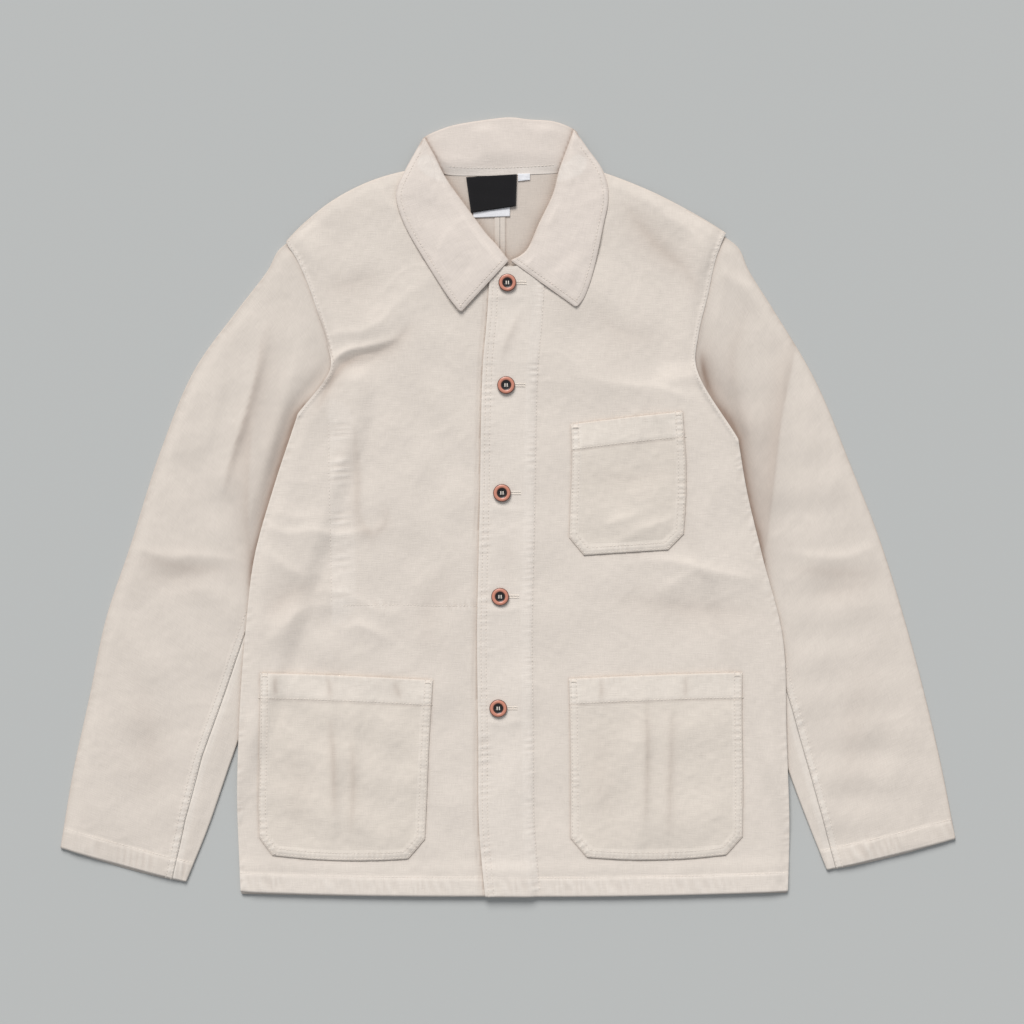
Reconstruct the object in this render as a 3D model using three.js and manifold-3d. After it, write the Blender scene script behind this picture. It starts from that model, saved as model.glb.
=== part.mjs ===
// A washed cotton chore jacket, laid flat on its back with the fronts buttoned.
// Millimetres. +X is the wearer's left, +Y runs from the hem to the collar, +Z is up from the floor.
// Every piece of cloth is a thin wall of its own, and the pieces lie on each other as on the floor.
import * as THREE from 'three';
import { mergeVertices } from 'three/addons/utils/BufferGeometryUtils.js';
import Module from 'manifold-3d';

const wasm = await Module();
wasm.setup();

// Cloth and seams
const CLOTH = 1.0; // wall of one layer of cloth
const COLLAR_CLOTH = 1.6; // two layers with an interlining
const SEAM_GAP = 0.3; // between two pieces that are sewn together
const LAYER_GAP = 0.5; // between two layers that lie on each other
const PUFF = 1.5; // how much the air between front and back lifts the front
const PUFF_REACH = 16; // and how far from the edge it is reached
const BAND_STEP = 1.5; // width of the step at the edge of a raised band

// Raised bands: hems, buttonhole band, felled seams
const HEM_WIDTH = 20;
const HEM_RAISE = 0.8;
const PLACKET_WIDTH = 55;
const PLACKET_RAISE = 0.5;
const FELL_WIDTH = 8;
const FELL_RAISE = 0.5;

// Body
const CENTRE_BACK_X = -8.6;
const BACK_SEAM_WIDTH = 5.4; // each side of the centre back seam
const UNDERLAP_LIFT = 1.5; // the over front climbs over the under front
const UNDERLAP_X = 24; // from this x the over front comes down again
const UNDERLAP_SLOPE = 26;
const ARMHOLE_LIFT = 2.0; // the front laps over the sleeve head, and climbs this much for it
const ARMHOLE_SLOPE = 30;
const ARMHOLE_LIFT_FLAT = FELL_WIDTH + 2; // full lift from the edge to here
const ARMHOLE_LIFT_FROM_Y = 116; // the lap over the sleeve head starts here
const ARMHOLE_LIFT_FADE = 28;
const HEM_EASE = 6; // the front stays raised this far above the hem, and then comes down
const HEM_SLOPE = 14;
const SHOULDER_AIR = 4; // shoulder edge is lifted as if it were this far inside
const CALM_SIDE = 10; // folds fade to nothing over this width at the side
const CALM_HEM = HEM_WIDTH + 4;
const CALM_HEM_SLOPE = 20;
const FOLD_END = 0.08; // part of a fold's height left at its ends
const FOLD_FADE = 0.8;
const FRONT_COLUMNS = 10; // even steps across a front
const PLACKET_FRONT_COLUMNS = 8; // and across the one with the buttonhole band
const BACK_OUTER_MARKS = [84, 62, 42, 22, 0];
const PANEL_STEP = 27; // length of a facet
const BACK_STEP = 40;

// Sleeves
const SLEEVE_HEIGHT = 3.0; // under the body and at the sleeve head
const SLEEVE_PUFF = 1.0; // more where the sleeve lies free
const SLEEVE_LIFT = 3.5; // what the back climbs to lie on a sleeve
const SLEEVE_LIFT_SLOPE = 22;
const SLEEVE_LIFT_MARGIN = 12; // full height is reached this far before the sleeve's edge
const SLEEVE_LIFT_TO_Y = 148; // above this the back meets the sleeve edge to edge
const SLEEVE_LIFT_FADE = 24;
const SLEEVE_FREE_FROM = 6; // outside the body's edge: puff starts here
const SLEEVE_FREE_SLOPE = 34;
const SLEEVE_CLEAR = 4; // folds and felled seam start here
const SLEEVE_FOLD_SLOPE = 16;
const SLEEVE_FELL_SLOPE = 10;
const SLEEVE_ROUND = 2; // the top rises from the rounded edge over this stretch
const SLEEVE_ROUND_SLOPE = 14;
const SLEEVE_EDGE_MARKS = [5, 12];
const SLEEVE_INNER_MARK = 6;
const NOSE_ANGLES = [-90, -45, 0, 45, 90];
const SLEEVE_TOP_COLUMNS = 5;
const SLEEVE_UNDER_COLUMNS = 4;
const BACK_SEAM_FROM_EDGE = 30; // hidden elbow seam, from the sleeve's outer edge
const SLEEVE_STEP = 37;

// Collar
const COLLAR_FOLD_HEIGHT = 2 * COLLAR_CLOTH + 0.4;
const COLLAR_FALL_BEHIND = 25; // width of the fall folded under at the back
const COLLAR_CLEAR = 0.4;
const ROLL_ANGLES = [90, 30, -30, -90];
const WING_FALL_COLUMNS = 5;
const BAND_STAND_COLUMNS = 6;
const BAND_FALL_COLUMNS = 2;
const COLLAR_STEP_END = 6; // behind the neck the stand comes down this far past the fall
const COLLAR_STEP_SLOPE = 22;
const COLLAR_FALL_MARGIN = 4; // narrowest strip of stand beside the fall
const WING_COVER_Y = 300; // below this the points pass over both fronts
const WING_COVER_FROM = 0.12;
const OVERLAP_X = -48; // the over front's edge starts to lift the points here
const OVERLAP_SLOPE = 20;
const OVERLAP_MARGIN = 8;
const PLACKET_TOP_Y = 250;

// Pockets and small pieces
const POCKET_BAND_RAISE = 0.6;
const BUTTON_RADIUS = 8.9;
const BUTTON_HEIGHT = 3.4;
const BUTTON_DISH_DEPTH = 1.1;
const HOLE_RADIUS = 1.0;
const HOLE_OFFSET = 1.9;
const BUTTON_SIDES = 16;
const HOLE_SIDES = 6;
const LABEL_CLOTH = 0.5;
const NECK_CLOTH = 0.8; // folded, two layers
const CUT_HEIGHT = 60; // of the prisms that cut outlines
const LAYER_MARGIN = 30; // of the panel kept round a pocket before it is cut

const cotton = (color) => new THREE.MeshStandardMaterial({ color, roughness: 0.92, metalness: 0 });
const BODY_COTTON = cotton(0xd9d0c6);
const SLEEVE_COTTON = cotton(0xd5cbc1);
const POCKET_COTTON = cotton(0xd8cfc5);
const COLLAR_COTTON = cotton(0xe0d7cf);
const BUTTON_HORN = new THREE.MeshStandardMaterial({ color: 0x9a5f45, roughness: 0.35, metalness: 0 });
const LABEL_BLACK = cotton(0x1b1a1c);
const LABEL_WHITE = cotton(0xe9e9ec);

const named = (columns, rows) => rows.map((row) => Object.fromEntries(columns.map((c, i) => [c, row[i]])));
const smooth = (t) => {
  const c = Math.min(1, Math.max(0, t));
  return c * c * (3 - 2 * c);
};
const mix = (a, b, t) => a + (b - a) * t;
// Even steps between two values, without the two themselves
const spread = (from, to, count) => (
  Array.from({ length: count }, (_, k) => mix(from, to, (k + 1) / (count + 1))));

// Section tables. Each row of a panel runs from its inner edge (front edge, neckline or centre back)
// to its outer edge (side, armhole). bow lifts the middle of the row, and corner says which edge turns there.
const PANEL_COLUMNS = ['innerX', 'innerY', 'outerX', 'outerY', 'bow', 'corner'];
const FRONT_RIGHT_ROWS = named(PANEL_COLUMNS, [
  [18.5, -389, -268, -385, -2, ''],
  [18.5, -300, -271.3, -300, 0, ''],
  [18.5, -200, -268.5, -200, 0, ''],
  [18.5, -120, -262.5, -120, 0, ''],
  [18.5, -50, -254, -50, 0, ''],
  [18.5, 22, -234, 22, 0, ''],
  [18.5, 92, -210.5, 93, 0, 'outer'],
  [18.5, 135, -178, 138, 0, ''],
  [18.5, 178, -181, 162, 0, ''],
  [18.5, 241.3, -194, 204, 0, 'inner'],
  [-4, 243, -202, 226, 0, ''],
  [-34, 269, -209, 242, 3, ''],
  [-58, 298, -215, 253, 8, ''],
  [-77.5, 322, -220, 260, 12, ''],
  [-85.5, 339.5, -222.5, 265.5, 15, ''],
]);
const FRONT_LEFT_ROWS = named(PANEL_COLUMNS, [
  [-23.5, -389.5, 279.5, -384.5, -2, ''],
  [-29.5, -320, 281, -330, 0, ''],
  [-30.3, -230, 278, -230, 0, ''],
  [-31.5, -130, 274, -130, 0, ''],
  [-30, -50, 254, -50, 0, ''],
  [-28.5, 15, 238.5, 15, 0, ''],
  [-27.5, 87, 229.5, 68, 0, 'outer'],
  [-25.5, 145, 188, 138, 0, ''],
  [-21.5, 190, 190, 172, 0, ''],
  [-18.5, 241.3, 200, 214, 0, 'inner'],
  [9, 241.3, 204, 234, 0, ''],
  [32, 256, 208, 250, 3, ''],
  [43.5, 281, 211, 258, 5, ''],
  [59.5, 311, 214, 266, 6, ''],
  [77, 340.5, 217.5, 274, 6, ''],
]);
const BACK_RIGHT_ROWS = named(PANEL_COLUMNS, [
  [CENTRE_BACK_X, -390, -267, -387, -1, ''],
  [CENTRE_BACK_X, -300, -270.5, -300, 0, ''],
  [CENTRE_BACK_X, -200, -267.5, -200, 0, ''],
  [CENTRE_BACK_X, -120, -261.5, -120, 0, ''],
  [CENTRE_BACK_X, -50, -253, -50, 0, ''],
  [CENTRE_BACK_X, 22, -233, 22, 0, ''],
  [CENTRE_BACK_X, 90, -209.5, 90, 0, 'outer'],
  [CENTRE_BACK_X, 107, -190, 107, 0, ''],
  [CENTRE_BACK_X, 124, -165.4, 124, 0, 'outer'],
  [CENTRE_BACK_X, 178, -171.4, 161, 0, ''],
  [CENTRE_BACK_X, 240, -182.3, 196.6, 0, ''],
  [CENTRE_BACK_X, 331, -193.6, 222, 0, 'inner'],
  [-38, 331.2, -201.4, 237, 8, ''],
  [-64, 333, -209.4, 250.5, 13, ''],
  [-84, 339, -219, 264, 15, ''],
]);
const BACK_LEFT_ROWS = named(PANEL_COLUMNS, [
  [CENTRE_BACK_X, -390, 278.5, -386, -1, ''],
  [CENTRE_BACK_X, -300, 279.8, -330, 0, ''],
  [CENTRE_BACK_X, -200, 276.5, -200, 0, ''],
  [CENTRE_BACK_X, -120, 272.5, -126, 0, ''],
  [CENTRE_BACK_X, -50, 253, -50, 0, ''],
  [CENTRE_BACK_X, 22, 236.5, 20, 0, ''],
  [CENTRE_BACK_X, 74, 226, 66, 0, 'outer'],
  [CENTRE_BACK_X, 100, 202, 94, 0, ''],
  [CENTRE_BACK_X, 124, 175.6, 124, 0, 'outer'],
  [CENTRE_BACK_X, 178, 182.3, 162, 0, ''],
  [CENTRE_BACK_X, 240, 190.4, 199, 0, ''],
  [CENTRE_BACK_X, 331, 196.4, 222, 0, 'inner'],
  [24, 332.4, 201, 238, 4, ''],
  [52, 334.5, 205.3, 252, 5, ''],
  [75, 339.5, 211.8, 269, 6, ''],
]);

// Sleeve rows run from the outer edge to the inner edge, from the cuff up to the armhole.
// seam is the distance of the forearm seam from the inner edge.
const SLEEVE_COLUMNS = ['outerX', 'outerY', 'innerX', 'innerY', 'bow', 'seam'];
const SLEEVE_RIGHT_ROWS = named(SLEEVE_COLUMNS, [
  [-448.5, -341, -322.5, -375, -1, 14],
  [-436, -266, -301, -322, 0, 24],
  [-419.5, -190, -281, -264, 0, 29],
  [-403, -112, -261, -206, 0, 29],
  [-379, -40, -243, -148, 0, 28],
  [-348, 57, -223, -84, 2, 27],
  [-314.5, 137, -202, -18, 5, 26],
  [-271.5, 197, -184, 38, 9, 25],
  [-241, 237, -172, 66, 12, 25],
  [-231, 256, -168.5, 78, 13.5, 25],
  [-221, 265, -165, 90, 15, 25],
]);
const SLEEVE_LEFT_ROWS = named(SLEEVE_COLUMNS, [
  [447.5, -332, 318.5, -363, -1, 9],
  [433.5, -260, 300.5, -318, 0, 15],
  [418, -193, 284.5, -276, 0, 20],
  [399.5, -123, 264, -216, 0, 24],
  [372.5, -35, 246, -155, 0, 25],
  [344.5, 37, 226, -93, 2, 25],
  [307, 127, 206, -28, 5, 25],
  [265.5, 197, 190, 32, 8, 25],
  [240.5, 237, 181, 62, 8, 25],
  [230.5, 259, 177.5, 77, 7, 25],
  [214.5, 272, 174, 92, 6.5, 25],
]);
// The hidden inner edge of each sleeve, under the body
const SLEEVE_EDGE_COLUMNS = ['y', 'right', 'left'];
const SLEEVE_EDGE = named(SLEEVE_EDGE_COLUMNS, [
  [-375, -322, 322],
  [-320, -300, 302],
  [-264, -281, 280],
  [-206, -261, 261],
  [-148, -243, 244],
  [-84, -223, 223],
  [-18, -202, 203],
  [38, -184, 191],
  [90, -165, 174],
]);

// Largest folds: ridges (height above zero) and troughs, each along two straight stretches
const FOLD_COLUMNS = ['height', 'width', 'x1', 'y1', 'x2', 'y2', 'x3', 'y3'];
const FOLDS_FRONT_RIGHT = named(FOLD_COLUMNS, [
  [2.2, 11, -204, 104, -176, 150, -132, 172],
  [-1.1, 12, -182, 120, -147, 148, -96, 186],
  [1.4, 12, -248, -19, -196, -25, -128, -20],
  [-0.9, 13, -236, -40, -180, -48, -120, -42],
  [1.3, 13, -238, -128, -200, -104, -168, -96],
  [1.2, 12, -170, -126, -140, -124, -104, -136],
  [0.9, 9, -179, -178, -175, -260, -178, -338],
  [1.0, 14, -150, 292, -120, 240, -112, 170],
]);
const FOLDS_FRONT_LEFT = named(FOLD_COLUMNS, [
  [1.8, 13, 128, 320, 160, 288, 200, 236],
  [-0.9, 13, 120, 296, 146, 262, 176, 214],
  [1.2, 13, 78, 124, 130, 120, 190, 108],
  [1.4, 13, 138, -60, 182, -64, 240, -76],
  [-0.9, 14, 120, -92, 176, -96, 232, -110],
  [1.5, 13, 178, 150, 194, 112, 214, 70],
  [0.9, 9, 135, -176, 137, -250, 134, -336],
  [0.8, 9, 161, -182, 160, -250, 158, -330],
]);
const FOLDS_SLEEVE_RIGHT = named(FOLD_COLUMNS, [
  [2.0, 12, -244, 172, -256, 112, -280, 26],
  [1.5, 11, -262, 74, -268, -10, -262, -66],
  [1.8, 14, -368, -42, -324, -52, -276, -48],
  [-0.7, 14, -372, -76, -330, -86, -290, -90],
  [1.4, 16, -350, 36, -330, -10, -322, -36],
  [1.2, 15, -412, -200, -392, -250, -380, -310],
]);
const FOLDS_SLEEVE_LEFT = named(FOLD_COLUMNS, [
  [1.8, 12, 216, 236, 234, 218, 258, 210],
  [2.0, 13, 276, 142, 270, 96, 262, 30],
  [1.4, 12, 262, 20, 272, -20, 300, -60],
  [1.8, 14, 350, -44, 322, -52, 288, -50],
  [-0.7, 14, 362, -84, 330, -88, 296, -84],
  [1.3, 16, 330, 40, 316, 0, 312, -28],
  [1.2, 15, 404, -190, 388, -246, 372, -300],
]);

// Collar rows: R on the roll line, F at the free edge of the fall, S at the neckline seam.
// base is the underside of the fold, end that of the free edge.
const WING_COLUMNS = ['rollX', 'rollY', 'freeX', 'freeY', 'seamX', 'seamY', 'base', 'end'];
const WING_RIGHT_ROWS = named(WING_COLUMNS, [
  [0.5, 246.5, -48, 194, -1, 243.2, 4.4, 4.5],
  [-12.5, 263, -62.5, 213, -16.5, 258, 3.2, 4.5],
  [-22.5, 274, -82.5, 244.5, -31, 270.5, 2.4, 4.5],
  [-42.5, 301, -103.5, 281, -55, 298.5, 2.4, 4.5],
  [-62.5, 329, -112.5, 312, -74, 322.5, 2.4, 4.4],
  [-73.8, 352, -103.5, 336, -80.5, 342.5, 2.1, 3.6],
  [-83.5, 369, -87, 366, -81.5, 345, 1.9, 3.2],
]);
const WING_LEFT_ROWS = named(WING_COLUMNS, [
  [1.8, 246.5, 68, 199, 3.5, 243.2, 4.4, 4.5],
  [12.5, 252, 77, 212, 16, 249.3, 3.6, 4.5],
  [20.5, 261, 86, 240, 27.5, 258.5, 2.8, 4.5],
  [30.5, 284, 94, 277, 41, 282, 2.4, 4.5],
  [44, 312.5, 99.8, 309, 57, 311.5, 2.4, 4.5],
  [50.5, 337, 95, 335, 68, 333, 2.4, 4.0],
  [58.5, 359, 78, 360, 71.5, 344.5, 2.1, 3.6],
  [65, 377, 67.5, 374.5, 68.5, 347, 1.9, 3.2],
]);
const BAND_COLUMNS = ['rollX', 'rollY', 'seamX', 'seamY'];
const BAND_ROWS = named(BAND_COLUMNS, [
  [-88, 362, -82, 344.5],
  [-84.5, 370, -77, 341.5],
  [-68, 378, -62, 336],
  [-49, 383.5, -40, 333.2],
  [-12.5, 389, -9, 333],
  [4, 390, 8, 333.6],
  [20.5, 388, 26, 334.4],
  [45.5, 386, 48, 336.2],
  [65.5, 378, 65, 341],
  [71, 370, 69.5, 345.5],
]);

// Pocket outlines: the four sides with the two cut corners at the bottom
const CORNER_COLUMNS = ['x', 'y'];
const CHEST_POCKET = named(CORNER_COLUMNS, [
  [62.2, 82.5], [61.8, 8], [60.5, -30.3], [75.7, -48.5], [159.4, -43], [175.1, -27],
  [177.5, 44.3], [173.9, 95.2],
]);
const CHEST_BAND = named(CORNER_COLUMNS, [[62.2, 82.5], [63.5, 56.4], [175.1, 69.1], [173.9, 95.2]]);
const HIP_POCKET_RIGHT = named(CORNER_COLUMNS, [
  [-248.1, -165.7], [-250.6, -304], [-249.2, -330.7], [-236, -348.3], [-161.5, -353.5], [-100.5, -352],
  [-83.5, -332], [-80.5, -267.7], [-75.5, -173],
]);
const HIP_BAND_RIGHT = named(CORNER_COLUMNS, [
  [-248.1, -165.7], [-248.5, -192], [-77.5, -201], [-75.5, -173],
]);
const HIP_POCKET_LEFT = named(CORNER_COLUMNS, [
  [60.3, -171.7], [61.9, -254.6], [61.9, -331], [78.5, -350.3], [147.2, -353.5], [217.4, -348],
  [234.1, -329.6], [234.9, -286.5], [233.3, -165.3],
]);
const HIP_BAND_LEFT = named(CORNER_COLUMNS, [
  [60.3, -171.7], [61.4, -196.4], [233.4, -191.6], [233.3, -165.3],
]);

// Half section of a button: rounded rim, dished middle
const BUTTON_PROFILE = named(['radius', 'height'], [
  [0, 0],
  [6.4, 0],
  [8.55, 0.8],
  [BUTTON_RADIUS, 1.7],
  [8.3, 2.9],
  [7.1, BUTTON_HEIGHT],
  [5.6, 3.2],
  [4.75, BUTTON_HEIGHT - BUTTON_DISH_DEPTH],
  [0, BUTTON_HEIGHT - BUTTON_DISH_DEPTH],
]);

// Buttons, from the neck down
const BUTTONS = named(CORNER_COLUMNS, [
  [-1.1, 224], [-2.4, 121.7], [-6.5, 14], [-8.4, -89.6], [-10.2, -201],
]);

// Labels lie on the back inside the neck, over its felled seam
const LABELS = named(['name', 'corners', 'floor', 'thickness', 'material'], [
  ['care_label', [[-35.5, 311], [-35.5, 289.5], [1.5, 291], [1.5, 312]], 1.9, LABEL_CLOTH, LABEL_WHITE],
  ['neck_label', [[-42.5, 329.5], [-36.2, 294.4], [7.5, 301], [8.5, 330.5]], 2.7, NECK_CLOTH, LABEL_BLACK],
  ['size_tab', [[11, 332], [11, 325.5], [23.5, 326.5], [23.5, 332]], 1.3, LABEL_CLOTH, LABEL_WHITE],
]);

// A curve through points that turns sharply at the corner rows only
function brokenSpline(points, corners) {
  const pieces = [];
  let start = 0;
  points.forEach((point, i) => {
    const last = i === points.length - 1;
    if (i === 0 || !(corners.includes(i) || last)) return;
    const curve = new THREE.CatmullRomCurve3(points.slice(start, i + 1), false, 'centripetal');
    pieces.push({ start, end: i, curve });
    start = i;
  });
  return (row) => {
    const piece = pieces.find((p) => row <= p.end + 1e-6);
    return piece.curve.getPoint(Math.min(1, (row - piece.start) / (piece.end - piece.start)));
  };
}

function edgesOf(rows) {
  const corners = (edge) => rows.flatMap((row, i) => (row.corner === edge ? [i] : []));
  const line = (edge) => rows.map((row) => new THREE.Vector3(row[`${edge}X`], row[`${edge}Y`], 0));
  const [inner, outer] = ['inner', 'outer'].map((edge) => brokenSpline(line(edge), corners(edge)));
  return { inner, outer };
}

// Row numbers of the sections: each table interval is cut into facets of about one step, and the first
// interval also gets a section on both sides of the hem's upper edge
function sectionRows(rows, edges, step, hem) {
  const length = (a, b) => Math.max(
    edges.inner(a).distanceTo(edges.inner(b)),
    edges.outer(a).distanceTo(edges.outer(b)),
  );
  const hemRow = hem / length(0, 1);
  const stepRow = BAND_STEP / length(0, 1);
  const result = [0, hemRow, hemRow + stepRow];
  rows.slice(1).forEach((_, i) => {
    const from = i === 0 ? hemRow + stepRow : i;
    const count = Math.max(1, Math.round(length(from, i + 1) / step));
    for (let k = 1; k <= count; k++) result.push(mix(from, i + 1, k / count));
  });
  return result;
}

const columnAt = (rows, key, row) => {
  const i = Math.min(rows.length - 2, Math.floor(row));
  return mix(rows[i][key], rows[i + 1][key], row - i);
};

// Point of a row at fraction t, with the row's bow
function rowPoint(from, to, bow, t) {
  const along = to.clone().sub(from);
  const across = new THREE.Vector3(-along.y, along.x, 0).normalize();
  if (across.y < 0) across.negate();
  return from.clone().addScaledVector(along, t).addScaledVector(across, 4 * bow * t * (1 - t));
}

// A closed wall between two grids of points, the cloth's right side and its wrong side
function clothWall(right, wrong) {
  const rows = right.length;
  const columns = right[0].length;
  const positions = [...right.flat(), ...wrong.flat()].flatMap((p) => [p.x, p.y, p.z]);
  const at = (side, i, j) => side * rows * columns + i * columns + j;
  const index = [];
  const quad = (a, b, c, d) => index.push(a, b, c, a, c, d);
  for (let i = 0; i < rows - 1; i++) {
    for (let j = 0; j < columns - 1; j++) {
      quad(at(0, i, j), at(0, i, j + 1), at(0, i + 1, j + 1), at(0, i + 1, j));
      quad(at(1, i, j), at(1, i + 1, j), at(1, i + 1, j + 1), at(1, i, j + 1));
    }
    quad(at(0, i, 0), at(0, i + 1, 0), at(1, i + 1, 0), at(1, i, 0));
    quad(at(0, i, columns - 1), at(1, i, columns - 1), at(1, i + 1, columns - 1), at(0, i + 1, columns - 1));
  }
  for (let j = 0; j < columns - 1; j++) {
    quad(at(0, 0, j), at(1, 0, j), at(1, 0, j + 1), at(0, 0, j + 1));
    quad(at(0, rows - 1, j), at(0, rows - 1, j + 1), at(1, rows - 1, j + 1), at(1, rows - 1, j));
  }
  const geometry = new THREE.BufferGeometry();
  geometry.setAttribute('position', new THREE.Float32BufferAttribute(positions, 3));
  geometry.setIndex(index);
  return facingOut(geometry);
}

function facingOut(geometry) {
  const p = geometry.getAttribute('position');
  const index = Array.from(geometry.getIndex().array);
  const corner = (i) => new THREE.Vector3().fromBufferAttribute(p, index[i]);
  let volume = 0;
  for (let i = 0; i < index.length; i += 3) volume += corner(i).dot(corner(i + 1).cross(corner(i + 2)));
  if (volume < 0) {
    for (let i = 0; i < index.length; i += 3) [index[i], index[i + 1]] = [index[i + 1], index[i]];
    geometry.setIndex(index);
  }
  geometry.computeVertexNormals();
  return geometry;
}

function mergedIndex(geometry) {
  const plain = geometry.clone();
  plain.deleteAttribute('normal');
  plain.deleteAttribute('uv');
  return mergeVertices(plain, 1e-4);
}

function toSolid(geometry) {
  const merged = mergedIndex(geometry);
  return new wasm.Manifold(new wasm.Mesh({
    numProp: 3,
    vertProperties: new Float32Array(merged.getAttribute('position').array),
    triVerts: new Uint32Array(merged.getIndex().array),
  }));
}

function fromSolid(solid) {
  const mesh = solid.getMesh();
  const geometry = new THREE.BufferGeometry();
  geometry.setAttribute('position', new THREE.Float32BufferAttribute(mesh.vertProperties, 3));
  geometry.setIndex(Array.from(mesh.triVerts));
  geometry.computeVertexNormals();
  return geometry;
}

function prism(corners, floor = -CUT_HEIGHT / 2, height = CUT_HEIGHT) {
  const shape = new THREE.Shape(corners.map(([x, y]) => new THREE.Vector2(x, y)));
  const geometry = new THREE.ExtrudeGeometry(shape, { depth: height, bevelEnabled: false });
  return geometry.translate(0, 0, floor);
}

// Height that one fold adds: a soft ridge or trough along its path, fading to nothing at both ends
function foldHeight(fold, x, y) {
  const path = [[fold.x1, fold.y1], [fold.x2, fold.y2], [fold.x3, fold.y3]];
  const lengths = [0, 1].map((i) => Math.hypot(path[i + 1][0] - path[i][0], path[i + 1][1] - path[i][1]));
  const nearest = [0, 1].map((i) => {
    const [ax, ay] = path[i];
    const ux = (path[i + 1][0] - ax) / lengths[i];
    const uy = (path[i + 1][1] - ay) / lengths[i];
    const along = Math.min(lengths[i], Math.max(0, (x - ax) * ux + (y - ay) * uy));
    const away = Math.hypot(x - ax - along * ux, y - ay - along * uy);
    return { away, along: (i * lengths[0] + along) / (lengths[0] + lengths[1]) };
  }).sort((a, b) => a.away - b.away)[0];
  const fade = Math.sin(Math.PI * mix(FOLD_END, 1 - FOLD_END, nearest.along)) ** FOLD_FADE;
  return fold.height * fade * Math.exp(-((nearest.away / fold.width) ** 2));
}
const foldsAt = (folds, x, y) => folds.reduce((sum, fold) => sum + foldHeight(fold, x, y), 0);

// What the back climbs where a sleeve's inner edge lies under it
function sleeveLift(x, y) {
  const side = x < 0 ? 'right' : 'left';
  const k = Math.min(SLEEVE_EDGE.length - 2, Math.max(0, SLEEVE_EDGE.filter((e) => e.y <= y).length - 1));
  const [a, b] = [SLEEVE_EDGE[k], SLEEVE_EDGE[k + 1]];
  const edge = Math.abs(mix(a[side], b[side], Math.min(1, (y - a.y) / (b.y - a.y))));
  const past = Math.abs(x) - edge + SLEEVE_LIFT_MARGIN;
  const overSleeve = smooth(past / SLEEVE_LIFT_SLOPE + 1);
  return SLEEVE_LIFT * overSleeve * smooth((SLEEVE_LIFT_TO_Y - y) / SLEEVE_LIFT_FADE);
}

const underlapLift = (x) => UNDERLAP_LIFT * (1 - smooth((x - UNDERLAP_X) / UNDERLAP_SLOPE));

// Grid of a flat panel: fixed distances from both edges, even steps between them
function panelGrid(rows, step, innerMarks, outerMarks, middle) {
  const edges = edgesOf(rows);
  const sections = sectionRows(rows, edges, step, HEM_WIDTH);
  const top = sections[sections.length - 1];
  return sections.map((row, i) => {
    const from = edges.inner(row);
    const to = edges.outer(row);
    const width = from.distanceTo(to);
    const bow = columnAt(rows, 'bow', row);
    const inside = innerMarks.map((d) => d / width);
    const outside = outerMarks.map((d) => 1 - d / width);
    const between = spread(inside.at(-1), outside[0], middle);
    return [...inside, ...between, ...outside].map((t, j) => {
      const point = rowPoint(from, to, bow, t);
      return {
        x: point.x,
        y: point.y,
        outer: (1 - t) * width,
        hem: point.y - rows[0].outerY,
        shoulder: edges.outer(top).distanceTo(edges.outer(row)),
        hemBand: i < 2,
        onYoke: row > rows.findIndex((r) => r.corner === 'inner'),
        aboveUnderarm: row >= rows.findIndex((r) => r.corner === 'outer'),
        column: j,
      };
    });
  });
}

// The two halves of the back lie on the floor, and climb onto the sleeves' inner edges
function backGrid(rows) {
  const innerMarks = [SEAM_GAP / 2, BACK_SEAM_WIDTH, BACK_SEAM_WIDTH + BAND_STEP / 2];
  const grid = panelGrid(rows, BACK_STEP, innerMarks, BACK_OUTER_MARKS, 1);
  const lift = (p) => sleeveLift(p.x, p.y);
  const raise = (p) => Math.max(p.hemBand ? HEM_RAISE : 0, p.column < 2 && !p.onYoke ? FELL_RAISE : 0);
  return {
    right: grid.map((row) => row.map((p) => new THREE.Vector3(p.x, p.y, lift(p) + CLOTH + raise(p)))),
    wrong: grid.map((row) => row.map((p) => new THREE.Vector3(p.x, p.y, lift(p)))),
  };
}

// A front lies on the back with a little air between them, and laps over the sleeve head
function frontGrid(rows, folds, placket) {
  const innerMarks = placket ? [0, PLACKET_WIDTH / 2, PLACKET_WIDTH, PLACKET_WIDTH + BAND_STEP] : [0];
  const outerMarks = [FELL_WIDTH * 2, FELL_WIDTH + BAND_STEP, FELL_WIDTH, 0];
  const columns = placket ? PLACKET_FRONT_COLUMNS : FRONT_COLUMNS;
  const grid = panelGrid(rows, PANEL_STEP, innerMarks, outerMarks, columns);
  const floor = (p) => {
    const air = PUFF * smooth(p.outer / PUFF_REACH) * smooth((p.shoulder + SHOULDER_AIR) / PUFF_REACH);
    const hem = HEM_RAISE * (1 - smooth((p.hem - HEM_WIDTH - HEM_EASE) / HEM_SLOPE));
    const lapWeight = smooth((p.y - ARMHOLE_LIFT_FROM_Y) / ARMHOLE_LIFT_FADE);
    const armhole = ARMHOLE_LIFT * lapWeight * (1 - smooth((p.outer - ARMHOLE_LIFT_FLAT) / ARMHOLE_SLOPE));
    const underlap = placket ? underlapLift(p.x) + hem * underlapLift(p.x) / UNDERLAP_LIFT : 0;
    const calm = smooth(p.outer / CALM_SIDE) * smooth((p.hem - CALM_HEM) / CALM_HEM_SLOPE);
    const lift = sleeveLift(p.x, p.y) + air + hem + armhole + underlap;
    return CLOTH + LAYER_GAP + lift + calm * foldsAt(folds, p.x, p.y);
  };
  const lastColumn = grid[0].length - 1;
  const raise = (p) => Math.max(
    p.hemBand ? HEM_RAISE : 0,
    placket && p.column < 3 && !p.onYoke ? PLACKET_RAISE : 0,
    p.aboveUnderarm && p.column >= lastColumn - 1 ? FELL_RAISE : 0,
  );
  return {
    right: grid.map((row) => row.map((p) => new THREE.Vector3(p.x, p.y, floor(p) + CLOTH + raise(p)))),
    wrong: grid.map((row) => row.map((p) => new THREE.Vector3(p.x, p.y, floor(p)))),
  };
}

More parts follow.
